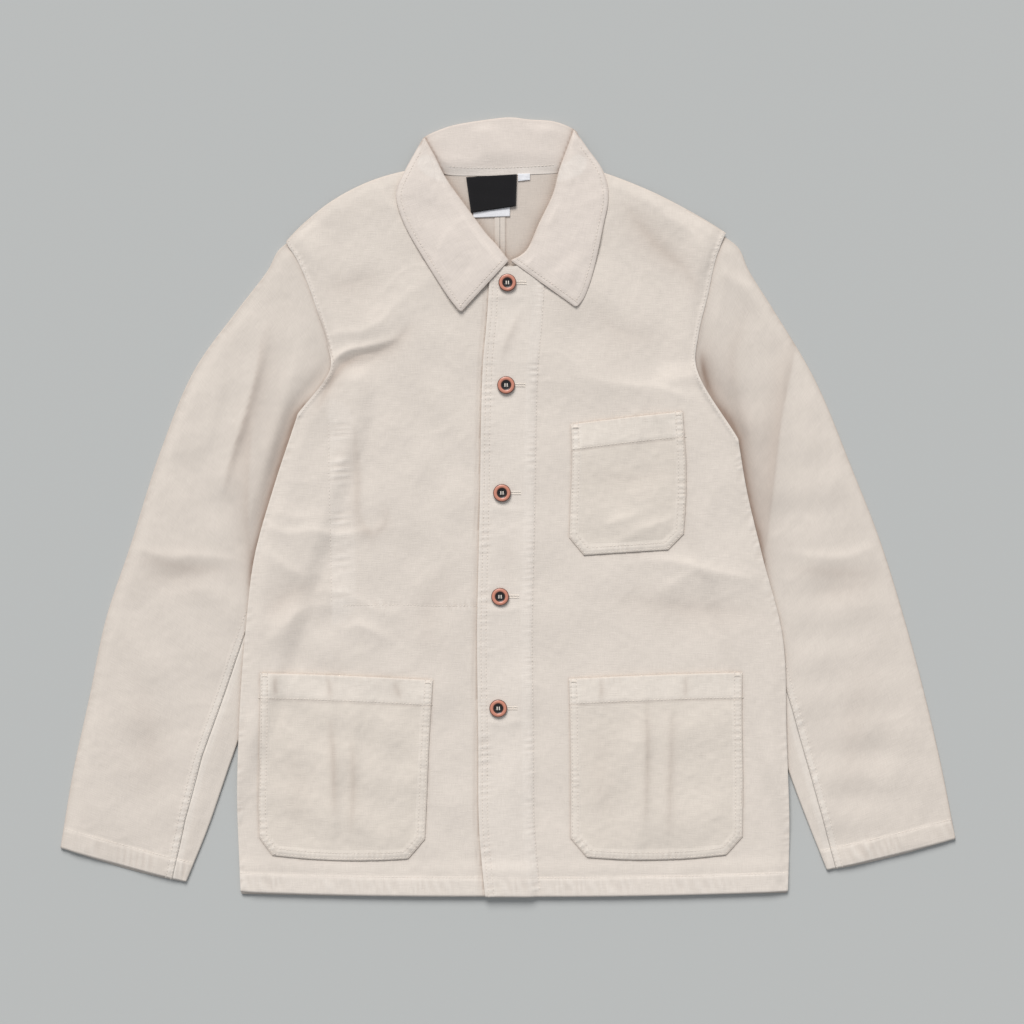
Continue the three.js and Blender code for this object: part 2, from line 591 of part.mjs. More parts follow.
// A layer on a panel keeps the panel's own points, moved out, and is cut to its outline
function layerOn(panel, outline, from, to) {
  const xs = outline.map((c) => c.x);
  const ys = outline.map((c) => c.y);
  const within = (value, values) => (
    value > Math.min(...values) - LAYER_MARGIN && value < Math.max(...values) + LAYER_MARGIN);
  const touches = (p) => within(p.x, xs);
  const rows = panel.right.filter((row) => row.some((p) => touches(p) && within(p.y, ys)));
  const columns = rows[0].map((_, j) => j).filter((j) => rows.some((row) => touches(row[j])));
  const moved = (z) => rows.map((row) => columns.map((j) => row[j].clone().setZ(row[j].z + z)));
  const layer = toSolid(clothWall(moved(to), moved(from)));
  return layer.intersect(toSolid(prism(outline.map((c) => [c.x, c.y]))));
}

function patchPocket(panel, outline, band) {
  const bag = layerOn(panel, outline, SEAM_GAP, SEAM_GAP + CLOTH);
  const top = layerOn(panel, band, SEAM_GAP, SEAM_GAP + CLOTH + POCKET_BAND_RAISE);
  return fromSolid(bag.add(top));
}

// One sleeve is a flattened tube in two pieces, with a rounded nose at each edge
function sleevePieces(rows, folds, frontRows) {
  const edges = edgesOf(rows.map((row) => ({ ...row, corner: '' })));
  const sections = sectionRows(rows, edges, SLEEVE_STEP, HEM_WIDTH);
  const front = edgesOf(frontRows);
  const sideLine = [];
  for (let row = 0; row <= frontRows.length - 1; row += 0.25) sideLine.push(front.outer(row));
  const bodyEdge = (y) => {
    const k = Math.max(0, sideLine.findLastIndex((p) => p.y <= y));
    const next = sideLine[Math.min(sideLine.length - 1, k + 1)];
    const span = next.y - sideLine[k].y;
    return Math.abs(mix(sideLine[k].x, next.x, span > 0 ? Math.min(1, (y - sideLine[k].y) / span) : 0));
  };
  const outsideBody = (p) => Math.abs(p.x) - bodyEdge(p.y);
  const top = (p) => {
    const outside = outsideBody(p);
    const puff = SLEEVE_PUFF * smooth((outside - SLEEVE_FREE_FROM) / SLEEVE_FREE_SLOPE);
    const clear = smooth((outside - SLEEVE_CLEAR) / SLEEVE_FOLD_SLOPE);
    return SLEEVE_HEIGHT + puff + clear * foldsAt(folds, p.x, p.y);
  };
  // A station is away from its edge on the top or under layer, or at an angle round a nose
  const section = (row, i, stations) => {
    const outer = edges.outer(row);
    const inner = edges.inner(row);
    const width = outer.distanceTo(inner);
    const bow = columnAt(rows, 'bow', row);
    const hem = i < 2 ? HEM_RAISE : 0;
    const at = (t) => rowPoint(outer, inner, bow, t);
    return stations(width, columnAt(rows, 'seam', row)).map(({ edge, away, angle, layer, raise = 0 }) => {
      const distance = (d) => at(edge === 'outer' ? d / width : 1 - d / width);
      if (layer === 'nose') {
        const radius = SLEEVE_HEIGHT / 2;
        const place = (r) => {
          const p = distance(radius - r * Math.cos(angle));
          return new THREE.Vector3(p.x, p.y, radius + r * Math.sin(angle));
        };
        return { right: place(radius), wrong: place(radius - CLOTH) };
      }
      const p = distance(away);
      if (layer === 'under') {
        return { right: new THREE.Vector3(p.x, p.y, 0), wrong: new THREE.Vector3(p.x, p.y, CLOTH) };
      }
      const rise = mix(SLEEVE_HEIGHT, top(p), smooth((away - SLEEVE_ROUND) / SLEEVE_ROUND_SLOPE));
      const band = raise * smooth((outsideBody(p) - SLEEVE_CLEAR) / SLEEVE_FELL_SLOPE);
      const right = new THREE.Vector3(p.x, p.y, rise + Math.max(band, hem));
      return { right, wrong: new THREE.Vector3(p.x, p.y, rise - CLOTH) };
    });
  };
  const nose = (edge, sign) => NOSE_ANGLES.map((angle) => (
    { edge, layer: 'nose', angle: sign * THREE.MathUtils.degToRad(angle) }));
  const topStations = (width, seam) => {
    const fell = width - seam - FELL_WIDTH;
    const plain = [
      ...SLEEVE_EDGE_MARKS,
      ...spread(SLEEVE_EDGE_MARKS.at(-1), fell - BAND_STEP, SLEEVE_TOP_COLUMNS),
      fell - BAND_STEP,
    ];
    return [
      { edge: 'outer', layer: 'under', away: BACK_SEAM_FROM_EDGE },
      ...nose('outer', 1),
      ...plain.map((away) => ({ edge: 'outer', layer: 'top', away })),
      { edge: 'outer', layer: 'top', away: fell, raise: FELL_RAISE },
      { edge: 'outer', layer: 'top', away: width - seam - SEAM_GAP / 2, raise: FELL_RAISE },
    ];
  };
  const underStations = (width, seam) => [
    { edge: 'inner', layer: 'top', away: seam - SEAM_GAP / 2 },
    { edge: 'inner', layer: 'top', away: Math.min(SLEEVE_INNER_MARK, seam / 2) },
    ...nose('inner', -1),
    ...spread(0, width - BACK_SEAM_FROM_EDGE, SLEEVE_UNDER_COLUMNS)
      .map((away) => ({ edge: 'inner', layer: 'under', away })),
    { edge: 'inner', layer: 'under', away: width - BACK_SEAM_FROM_EDGE - SEAM_GAP },
  ];
  return [topStations, underStations].map((stations) => {
    const points = sections.map((row, i) => section(row, i, stations));
    return clothWall(
      points.map((row) => row.map((p) => p.right)),
      points.map((row) => row.map((p) => p.wrong)),
    );
  });
}

// A stretch of collar folded along its roll line: one layer goes from the roll to the upper end,
// the other from the roll to the lower end. Heights are those of each layer's underside.
function foldedStretch(rows) {
  const radius = COLLAR_FOLD_HEIGHT / 2;
  const profile = rows.map(({ roll, upper, lower, base, upperZ, lowerZ, upperCount, lowerCount }) => {
    const out = upper.clone().sub(roll);
    const width = out.length();
    out.divideScalar(width);
    const centre = roll.clone().addScaledVector(out, radius);
    const right = [];
    const wrong = [];
    for (let k = upperCount; k > 0; k--) {
      const t = k / upperCount;
      const p = centre.clone().lerp(upper, t);
      const z = upperZ(t, p);
      right.push(new THREE.Vector3(p.x, p.y, z + COLLAR_CLOTH));
      wrong.push(new THREE.Vector3(p.x, p.y, z));
    }
    for (const angle of ROLL_ANGLES) {
      const turn = THREE.MathUtils.degToRad(angle);
      const place = (r) => centre.clone().addScaledVector(out, -r * Math.cos(turn))
        .setZ(base + radius + r * Math.sin(turn));
      right.push(place(radius));
      wrong.push(place(radius - COLLAR_CLOTH));
    }
    for (let k = 1; k <= lowerCount; k++) {
      const t = k / lowerCount;
      const p = centre.clone().lerp(lower, t);
      const z = lowerZ(t);
      right.push(new THREE.Vector3(p.x, p.y, z));
      wrong.push(new THREE.Vector3(p.x, p.y, z + COLLAR_CLOTH));
    }
    return { right, wrong };
  });
  return clothWall(profile.map((p) => p.right), profile.map((p) => p.wrong));
}

// Rows of a table cut into a number of parts each, on smooth curves through its columns
function refine(rows, columns, parts) {
  const curve = (key) => new THREE.SplineCurve(rows.map((row, i) => new THREE.Vector2(i, row[key])));
  const curves = columns.map(curve);
  const count = (rows.length - 1) * parts;
  return Array.from({ length: count + 1 }, (_, i) => (
    Object.fromEntries(columns.map((key, k) => [key, curves[k].getPoint(i / count).y]))));
}

function collar() {
  // The fronts climb over each other at the neck, and the fall passes over them
  const cover = (p) => {
    const inside = 1 - smooth((p.x - UNDERLAP_X - OVERLAP_MARGIN) / UNDERLAP_SLOPE);
    const over = smooth((p.x - OVERLAP_X) / OVERLAP_SLOPE) * inside;
    const raise = p.y < PLACKET_TOP_Y ? PLACKET_RAISE : 0;
    return CLOTH + LAYER_GAP + PUFF + CLOTH + (UNDERLAP_LIFT + raise) * over + COLLAR_CLEAR;
  };
  const wing = (table) => foldedStretch(refine(table, WING_COLUMNS, 2).map((row) => {
    const foldZ = row.base + COLLAR_CLOTH + COLLAR_CLEAR;
    return {
      roll: new THREE.Vector3(row.rollX, row.rollY, 0),
      upper: new THREE.Vector3(row.freeX, row.freeY, 0),
      lower: new THREE.Vector3(row.seamX, row.seamY, 0),
      base: row.base,
      upperZ: (t, p) => {
        const plain = mix(foldZ, row.end, smooth(t));
        return p.y < WING_COVER_Y && t > WING_COVER_FROM ? Math.max(plain, cover(p)) : plain;
      },
      lowerZ: () => row.base,
      upperCount: WING_FALL_COLUMNS,
      lowerCount: 1,
    };
  }));
  const band = foldedStretch(refine(BAND_ROWS, BAND_COLUMNS, 1).map((row) => {
    const roll = new THREE.Vector3(row.rollX, row.rollY, 0);
    const seam = new THREE.Vector3(row.seamX, row.seamY, 0);
    const width = roll.distanceTo(seam);
    const depth = Math.min(COLLAR_FALL_BEHIND, width - COLLAR_FALL_MARGIN);
    const free = roll.clone().add(seam.clone().sub(roll).setLength(depth));
    const upperBase = COLLAR_CLOTH + COLLAR_CLEAR;
    return {
      roll,
      upper: seam,
      lower: free,
      base: 0,
      upperZ: (t) => upperBase * (1 - smooth((t * width - depth - COLLAR_STEP_END) / COLLAR_STEP_SLOPE)),
      lowerZ: () => 0,
      upperCount: BAND_STAND_COLUMNS,
      lowerCount: BAND_FALL_COLUMNS,
    };
  }));
  const solid = toSolid(band).add(toSolid(wing(WING_RIGHT_ROWS))).add(toSolid(wing(WING_LEFT_ROWS)));
  return fromSolid(solid);
}

// Two-hole button, rounded rim and dished middle
function button() {
  const profile = BUTTON_PROFILE.map(({ radius, height }) => new THREE.Vector2(radius, height));
  const disc = new THREE.LatheGeometry(profile, BUTTON_SIDES).rotateX(Math.PI / 2);
  const upright = facingOut(mergedIndex(disc));
  return [-1, 1].reduce((solid, side) => {
    const hole = new THREE.CylinderGeometry(HOLE_RADIUS, HOLE_RADIUS, 4 * BUTTON_HEIGHT, HOLE_SIDES);
    hole.rotateX(Math.PI / 2).translate(0, side * HOLE_OFFSET, 0);
    return solid.subtract(toSolid(hole));
  }, toSolid(upright));
}

const jacket = new THREE.Group();
function add(name, geometry, material) {
  const mesh = new THREE.Mesh(geometry, material);
  mesh.name = name;
  jacket.add(mesh);
  return mesh;
}

for (const [name, rows] of [['back_right', BACK_RIGHT_ROWS], ['back_left', BACK_LEFT_ROWS]]) {
  const grid = backGrid(rows);
  add(name, clothWall(grid.right, grid.wrong), BODY_COTTON);
}

const frontRight = frontGrid(FRONT_RIGHT_ROWS, FOLDS_FRONT_RIGHT, false);
const frontLeft = frontGrid(FRONT_LEFT_ROWS, FOLDS_FRONT_LEFT, true);
add('front_right', clothWall(frontRight.right, frontRight.wrong), BODY_COTTON);
add('front_left', clothWall(frontLeft.right, frontLeft.wrong), BODY_COTTON);

for (const [side, rows, folds, frontRows] of [
  ['right', SLEEVE_RIGHT_ROWS, FOLDS_SLEEVE_RIGHT, FRONT_RIGHT_ROWS],
  ['left', SLEEVE_LEFT_ROWS, FOLDS_SLEEVE_LEFT, FRONT_LEFT_ROWS],
]) {
  const [top, under] = sleevePieces(rows, folds, frontRows);
  add(`top_sleeve_${side}`, top, SLEEVE_COTTON);
  add(`under_sleeve_${side}`, under, SLEEVE_COTTON);
}

add('collar', collar(), COLLAR_COTTON);
add('chest_pocket', patchPocket(frontLeft, CHEST_POCKET, CHEST_BAND), POCKET_COTTON);
add('hip_pocket_right', patchPocket(frontRight, HIP_POCKET_RIGHT, HIP_BAND_RIGHT), POCKET_COTTON);
add('hip_pocket_left', patchPocket(frontLeft, HIP_POCKET_LEFT, HIP_BAND_LEFT), POCKET_COTTON);

const placketTop = CLOTH + LAYER_GAP + PUFF + UNDERLAP_LIFT + CLOTH + PLACKET_RAISE;
const buttonSolid = button();
BUTTONS.forEach(({ x, y }, i) => {
  const mesh = add(`button_${i + 1}`, fromSolid(buttonSolid), BUTTON_HORN);
  mesh.position.set(x, y, placketTop + SEAM_GAP);
});

for (const label of LABELS) {
  add(label.name, mergedIndex(prism(label.corners, label.floor, label.thickness)), label.material);
}

export default jacket;
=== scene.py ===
"""A washed cotton chore jacket, laid flat on its back with the fronts buttoned.

Lengths in the tables are millimetres in the jacket's own frame, and become metres when a mesh is made.
Right and left are the wearer's. +X is the wearer's left, +Y runs from the hem to the collar, +Z is up.
"""

from __future__ import annotations

import logging
import math
from collections.abc import Callable, Sequence
from dataclasses import dataclass, field
from enum import Enum

import bpy
import numpy as np
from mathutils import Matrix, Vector


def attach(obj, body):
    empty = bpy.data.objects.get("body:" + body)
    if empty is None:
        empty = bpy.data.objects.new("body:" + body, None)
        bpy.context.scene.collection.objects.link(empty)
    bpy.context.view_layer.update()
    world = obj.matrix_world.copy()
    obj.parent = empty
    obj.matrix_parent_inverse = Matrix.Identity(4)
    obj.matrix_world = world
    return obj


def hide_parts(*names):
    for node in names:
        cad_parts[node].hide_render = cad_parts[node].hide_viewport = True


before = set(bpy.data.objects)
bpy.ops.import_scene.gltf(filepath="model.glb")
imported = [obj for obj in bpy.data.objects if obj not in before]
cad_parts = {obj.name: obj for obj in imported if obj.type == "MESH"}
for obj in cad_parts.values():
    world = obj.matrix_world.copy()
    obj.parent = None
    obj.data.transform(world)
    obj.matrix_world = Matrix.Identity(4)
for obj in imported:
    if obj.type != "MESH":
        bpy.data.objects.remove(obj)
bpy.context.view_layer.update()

log = logging.getLogger("chore_jacket")

Array = np.ndarray
Height = Callable[[Array], Array]

MM = 0.001

CLOTH = 1.0  # wall of one layer
COLLAR_CLOTH = 1.6
LAYER_GAP = 0.5
SEAM_GAP = 0.3
AIR = 1.5  # how much the air between front and back lifts the front
AIR_REACH = 16.0
HEM_WIDTH = 19.0
HEM_RAISE = 0.8
PLACKET_WIDTH = 55.0
PLACKET_RAISE = 0.6
FELL_WIDTH = 8.0
FELL_RAISE = 0.5
ARMHOLE_FELL = 4.0
CENTRE_BACK_X = -8.6
BACK_SEAM_WIDTH = 5.4
UNDERLAP_LIFT = 1.5
UNDERLAP_X = 19.0
UNDERLAP_SLOPE = 12.0
ARMHOLE_LIFT = 1.9
ARMHOLE_SLOPE = 30.0
ARMHOLE_JOIN = 1.1  # how far the sleeve head rises to meet the front's edge
ARMHOLE_THIN = 0.75  # how much thinner the front is at that edge
SLEEVE_HEIGHT = 3.0
SLEEVE_SHADE_TOP = 118.0  # above this no shade is painted beside the body's edge, where the sleeve is sewn to the front
CUFF_PEEP = 2.2  # how far the cuff's lower layer shows past the upper one
SLEEVE_PUFF = 1.0
SLEEVE_LIFT = 3.5
SLEEVE_LIFT_SLOPE = 22.0
SLEEVE_LIFT_MARGIN = 12.0
BACK_SEAM_FROM_EDGE = 30.0
COLLAR_FOLD_HEIGHT = 2 * COLLAR_CLOTH + 0.4
COLLAR_FALL_BEHIND = 25.0
COLLAR_CLEAR = 0.4
TIP_RADIUS = 3.6  # of the collar points
POCKET_BAND = 26.0
PLACKET_INNER = 26.0  # width of the pale strip beside the pocket sewn inside
STITCH_DEPTH = 0.22  # how far a line of stitching pulls the cloth down
CREASE_SOFTNESS = 0.45

# The hidden inner edge of each sleeve, under the body: y, wearer's right, wearer's left
SLEEVE_EDGE = np.array(
    [
        (-375, 322, 322),
        (-320, 300, 302),
        (-264, 281, 280),
        (-206, 261, 261),
        (-148, 243, 244),
        (-84, 223, 223),
        (-18, 202, 203),
        (38, 184, 191),
        (90, 165, 174),
    ],
    float,
)


def smooth(t: Array | float) -> Array:
    """Smooth step from 0 at ``t`` = 0 to 1 at ``t`` = 1."""
    c = np.clip(t, 0.0, 1.0)
    return c * c * (3.0 - 2.0 * c)


def mix(a: Array | float, b: Array | float, t: Array | float) -> Array | float:
    """Value between ``a`` at ``t`` = 0 and ``b`` at ``t`` = 1."""
    return a + (b - a) * t


def rounding(away: Array, radius: float) -> Array:
    """How far a rounded edge lies below the surface beside it, ``away`` from the edge."""
    t = 1.0 - np.clip(away / radius, 0.0, 1.0)
    return radius * (1.0 - np.sqrt(1.0 - 0.98 * t * t))


def spline(points: Array, at: Array) -> Array:
    """Points of a centripetal Catmull-Rom curve.

    Args:
        points: The points that the curve passes through.
        at: Where to evaluate it, counted in points from the first.

    Returns:
        One point for each value of ``at``.
    """
    padded = np.vstack([2 * points[0] - points[1], points, 2 * points[-1] - points[-2]])
    start = np.clip(np.floor(at).astype(int), 0, len(points) - 2)
    t = (at - start)[:, None]
    before, a, b, after = (padded[start + k] for k in range(4))
    g0, g1, g2 = (
        np.sqrt(np.maximum(np.linalg.norm(q - p, axis=1), 1e-4))[:, None]
        for p, q in ((before, a), (a, b), (b, after))
    )
    leave = ((a - before) / g0 - (b - before) / (g0 + g1) + (b - a) / g1) * g1
    arrive = ((b - a) / g1 - (after - a) / (g1 + g2) + (after - b) / g2) * g1
    bend = 3 * (b - a) - 2 * leave - arrive
    return a + t * leave + t**2 * bend + t**3 * (2 * (a - b) + leave + arrive)


class Path:
    """A line in the XY plane, with distances and lengths measured along it."""

    def __init__(self, points: Sequence | Array, curved: bool = False) -> None:
        """Keeps the points, on a smooth curve through them if ``curved``."""
        given = np.asarray(points, float)
        if curved and len(given) > 2:
            given = spline(given, np.linspace(0, len(given) - 1, (len(given) - 1) * 6 + 1))
        self.points = given
        steps = np.linalg.norm(np.diff(given, axis=0), axis=1)
        self.starts = np.concatenate([[0.0], np.cumsum(steps)])
        self.length = float(self.starts[-1])

    def nearest(self, xy: Array, reach: float) -> tuple[Array, Array, Array]:
        """Where points lie beside the line.

        Args:
            xy: Points, with X and Y on the last axis.
            reach: Distance past which a point isn't looked at.

        Returns:
            The distance (at most ``reach``), the length along the line, and 1 to its left or -1 to its right.
        """
        flat = xy.reshape(-1, 2)
        away = np.full(len(flat), float(reach))
        along = np.zeros(len(flat))
        side = np.ones(len(flat))
        low, high = self.points.min(0) - reach, self.points.max(0) + reach
        near = np.flatnonzero(np.all((flat >= low) & (flat <= high), axis=1))
        p = flat[near]
        best, best_along, best_side = np.full(len(p), reach**2), np.zeros(len(p)), np.ones(len(p))
        for k in range(len(self.points) - 1):
            u = self.points[k + 1] - self.points[k]
            span = max(float(np.hypot(*u)), 1e-9)
            rel = p - self.points[k]
            s = np.clip(rel @ u / span**2, 0.0, 1.0)
            gap = rel - s[:, None] * u
            squared = (gap**2).sum(1)
            closer = squared < best
            best[closer] = squared[closer]
            best_along[closer] = self.starts[k] + s[closer] * span
            best_side[closer] = np.where(u[0] * rel[closer, 1] - u[1] * rel[closer, 0] >= 0, 1.0, -1.0)
        away[near], along[near], side[near] = np.sqrt(best), best_along, best_side
        shape = xy.shape[:-1]
        return away.reshape(shape), along.reshape(shape), side.reshape(shape)

    def away(self, xy: Array, reach: float) -> Array:
        """Distance of points from the line, at most ``reach``."""
        return self.nearest(xy, reach)[0]

    def at(self, along: Array) -> Array:
        """Points at the given lengths along the line."""
        return np.stack([np.interp(along, self.starts, self.points[:, k]) for k in (0, 1)], axis=-1)

    def moved(self, left: float, trim: float = 0.0) -> Path:
        """The line moved to its left by ``left``, with ``trim`` cut off both ends."""
        count = max(2, int((self.length - 2 * trim) / 6))
        along = np.linspace(trim, self.length - trim, count)
        ahead, behind = self.at(np.minimum(along + 2, self.length)), self.at(np.maximum(along - 2, 0))
        u = (ahead - behind) / np.maximum(np.linalg.norm(ahead - behind, axis=1), 1e-9)[:, None]
        return Path(self.at(along) + left * np.stack([-u[:, 1], u[:, 0]], axis=1))


class Waves:
    """A soft irregular surface: waves of many lengths and directions, the same on each run."""

    def __init__(self, seed: int, shortest: float, longest: float, count: int = 22) -> None:
        """Draws the waves' directions and starts from ``seed``."""
        dice = np.random.default_rng(seed)
        angle = dice.uniform(0, math.tau, count)
        length = shortest * (longest / shortest) ** dice.uniform(0, 1, count)
        self.waves = np.stack([np.cos(angle), np.sin(angle)]) * (math.tau / length)
        self.starts = dice.uniform(0, math.tau, count)

    def at(self, xy: Array) -> Array:
        """Height at the points, about 1 either way."""
        return np.sin(xy @ self.waves + self.starts).sum(-1) * math.sqrt(2 / len(self.starts))


class Crumple:
    """Faint soft-edged creases that stay in washed cotton, in patches."""

    def __init__(self, seed: int, size: float) -> None:
        """Sets the patches and creases for creases about ``size`` apart."""
        self.field = Waves(seed, size, size * 3)
        self.patches = Waves(seed + 1, size * 2, size * 5)

    def at(self, xy: Array) -> Array:
        """Height at the points, from 0 to about 1 on a crease."""
        crease = np.exp(-np.sqrt(self.field.at(xy) ** 2 * 9 + 0.06))
        return crease * smooth(self.patches.at(xy) * 0.7 + 0.5)


@dataclass(frozen=True)
class Fold:
    """A crease laid along listed points: a soft ridge, or a trough where the height is below zero."""

    height: float
    left: float
    right: float
    points: tuple[tuple[float, float], ...]
    at_edge: bool = False

    def at(self, xy: Array) -> Array:
        """Height that the crease adds, fading to nothing at its ends."""
        path = Path(self.points, curved=True)
        away, along, side = path.nearest(xy, 5 * max(self.left, self.right))
        ratio = away / np.where(side > 0, self.left, self.right)
        fade = np.sin(math.pi * np.clip(mix(0.06, 0.94, along / path.length), 0, 1)) ** 0.75
        fall = np.exp(CREASE_SOFTNESS - np.sqrt(ratio**2 + CREASE_SOFTNESS**2)) - math.exp(-4.5)
        return self.height * fade * np.maximum(fall, 0.0)


def folds_at(folds: Sequence[Fold], xy: Array, at_edge: bool) -> Array:
    """Sum of the folds that reach the piece's edges, or of those that don't."""
    total = np.zeros(xy.shape[:-1])
    for fold in folds:
        if fold.at_edge is at_edge:
            total += fold.at(xy)
    return total


def hollows_at(folds: Sequence[Fold], strokes: Sequence[Fold], xy: Array) -> Array:
    """How much painted shade darkens the cloth in its troughs and along its strokes beside sharp creases, from 0 to 1.
    """
    total = np.zeros(xy.shape[:-1])
    for fold in folds:
        if fold.height < 0:
            total -= 0.11 * fold.at(xy)
    # each stroke is a line of painted shade
    for stroke in strokes:
        total += stroke.at(xy)
    return np.clip(total, 0, 1)


@dataclass(frozen=True)
class Puckers:
    """Small ripples that a line of stitching draws up in washed cotton."""

    path: Path
    depth: float = 0.3
    length: float = 7.0
    reach: float = 5.0
    middle: float = 0.0
    lean: float = 0.35
    seed: int = 1

    def at(self, xy: Array) -> Array:
        """Height that the ripples add at the points."""
        away, along, side = self.path.nearest(xy, abs(self.middle) + 3 * self.reach)
        off = away * side - self.middle
        line = np.stack([along, np.zeros_like(along)], axis=-1)
        drift, strength = Waves(self.seed, 18, 70, 9).at(line), Waves(self.seed + 7, 25, 90, 9).at(line)
        wave = np.sin(math.tau * (along + self.lean * off) / self.length + 2.0 * drift)
        sharp = 2 * (0.5 + 0.5 * wave) ** 1.6 - 0.8
        near = np.exp(-((off / self.reach) ** 2)) * (away < abs(self.middle) + 3 * self.reach)
        return self.depth * np.clip(0.6 + 0.4 * strength, 0.12, 1.3) * sharp * near


def groove(path: Path, xy: Array, width: float = 1.1) -> Array:
    """How far the cloth lies down along a line of stitching, from 0 to 1."""
    return np.exp(-((path.away(xy, 4 * width) / width) ** 2))


class Turn(Enum):
    """Which edge of a panel turns sharply at a section."""

    NONE = "none"
    INNER = "inner"
    OUTER = "outer"
    BOTH = "both"


@dataclass(frozen=True)
class Row:
    """One section of a panel, from its inner edge to its outer edge. The bow lifts its middle."""

    inner_x: float
    inner_y: float
    outer_x: float
    outer_y: float
    bow: float = 0.0
    turn: Turn = Turn.NONE


class Edge:
    """An edge of a panel: a smooth curve that turns sharply at its corners only."""

    def __init__(self, points: Sequence[tuple[float, float]], corners: Sequence[int]) -> None:
        """Keeps the points and where the curve is broken."""
        self.points = np.asarray(points, float)
        self.stops = [0, *corners, len(points) - 1]

    def at(self, rows: Array) -> Array:
        """Points of the edge at the given section numbers."""
        result = np.empty((len(rows), 2))
        for a, b in zip(self.stops, self.stops[1:]):
            here = (rows >= a) & (rows <= b)
            result[here] = spline(self.points[a : b + 1], rows[here] - a)
        return result


class Panel:
    """A cut piece of cloth, described by sections from its inner to its outer edge."""

    def __init__(self, rows: Sequence[Row]) -> None:
        """Makes the two edges from the sections."""
        self.rows = rows
        self.last = len(rows) - 1
        self.inner = Edge([(r.inner_x, r.inner_y) for r in rows], self.corners(Turn.INNER))
        self.outer = Edge([(r.outer_x, r.outer_y) for r in rows], self.corners(Turn.OUTER))

    def corners(self, turn: Turn) -> list[int]:
        """Numbers of the sections where that edge turns."""
        return [i for i, r in enumerate(self.rows) if r.turn in (turn, Turn.BOTH)]

    def sections(self, step: float) -> Array:
        """Section numbers about ``step`` apart, an odd count of them."""
        marks = np.arange(self.last + 1, dtype=float)
        spans = np.maximum(
            np.linalg.norm(np.diff(self.inner.at(marks), axis=0), axis=1),
            np.linalg.norm(np.diff(self.outer.at(marks), axis=0), axis=1),
        )
        counts = [max(2, 2 * round(span / step / 2)) for span in spans]
        parts = [i + np.arange(n) / n for i, n in enumerate(counts)]
        return np.concatenate([*parts, [float(self.last)]])

    def width(self, sections: Array) -> Array:
        """Distance between the edges at each section."""
        return np.linalg.norm(self.outer.at(sections) - self.inner.at(sections), axis=1)

    def place(self, sections: Array, t: Array) -> Array:
        """Points at fraction ``t`` of the way from the inner to the outer edge, with the bow.

        Args:
            sections: Section numbers, one for each row of ``t``.
            t: Fractions, one row for each section.

        Returns:
            The points, rows by columns by X and Y.
        """
        start = self.inner.at(sections)[:, None]
        along = self.outer.at(sections)[:, None] - start
        bow = np.interp(sections, np.arange(self.last + 1), [r.bow for r in self.rows])
        across = np.stack([-along[..., 1], along[..., 0]], axis=-1)
        across /= np.linalg.norm(across, axis=-1, keepdims=True)
        across *= np.where(across[..., 1:] < 0, -1.0, 1.0)
        lift = 4 * bow[:, None] * t * (1 - t)
        return start + along * t[..., None] + across * lift[..., None]

    def grid(self, sections: Array, inner: Sequence[float], outer: Sequence[float], step: float) -> Array:
        """Grid of points at fixed distances from both edges, with even steps between them.

        Args:
            sections: Section numbers.
            inner: Rising distances from the inner edge.
            outer: Falling distances from the outer edge.
            step: About the longest step between them.

        Returns:
            The points, rows by an odd count of columns by X and Y.
        """
        width = self.width(sections)[:, None]
        middle = max(1, int((width.max() - inner[-1] - outer[0]) / step))
        middle += (middle + len(inner) + len(outer) + 1) % 2
        first, last = np.asarray(inner) / width, 1 - np.asarray(outer) / width
        share = np.arange(1, middle + 1) / (middle + 1)
        between = first[:, -1:] + (last[:, :1] - first[:, -1:]) * share
        return self.place(sections, np.hstack([first, between, last]))

    def edge(self, turn: Turn, start: float, stop: float) -> Path:
        """The line of one edge between two sections."""
        rows = np.linspace(start, stop, int(math.ceil((stop - start) * 8)) + 1)
        return Path((self.inner if turn is Turn.INNER else self.outer).at(rows))

    def section(self, row: float) -> Path:
        """The line of one section."""
        return Path(self.place(np.array([row]), np.linspace(0, 1, 17)[None, :])[0])

    def area(self) -> float:
        """Flat area in square metres."""
        line = np.vstack(
            [
                self.edge(Turn.INNER, 0, self.last).points,
                self.section(self.last).points,
                self.edge(Turn.OUTER, 0, self.last).points[::-1],
                self.section(0).points[::-1],
            ]
        )
        x, y = line[:, 0], line[:, 1]
        return 0.5 * abs(float(x @ np.roll(y, -1) - y @ np.roll(x, -1))) * MM**2


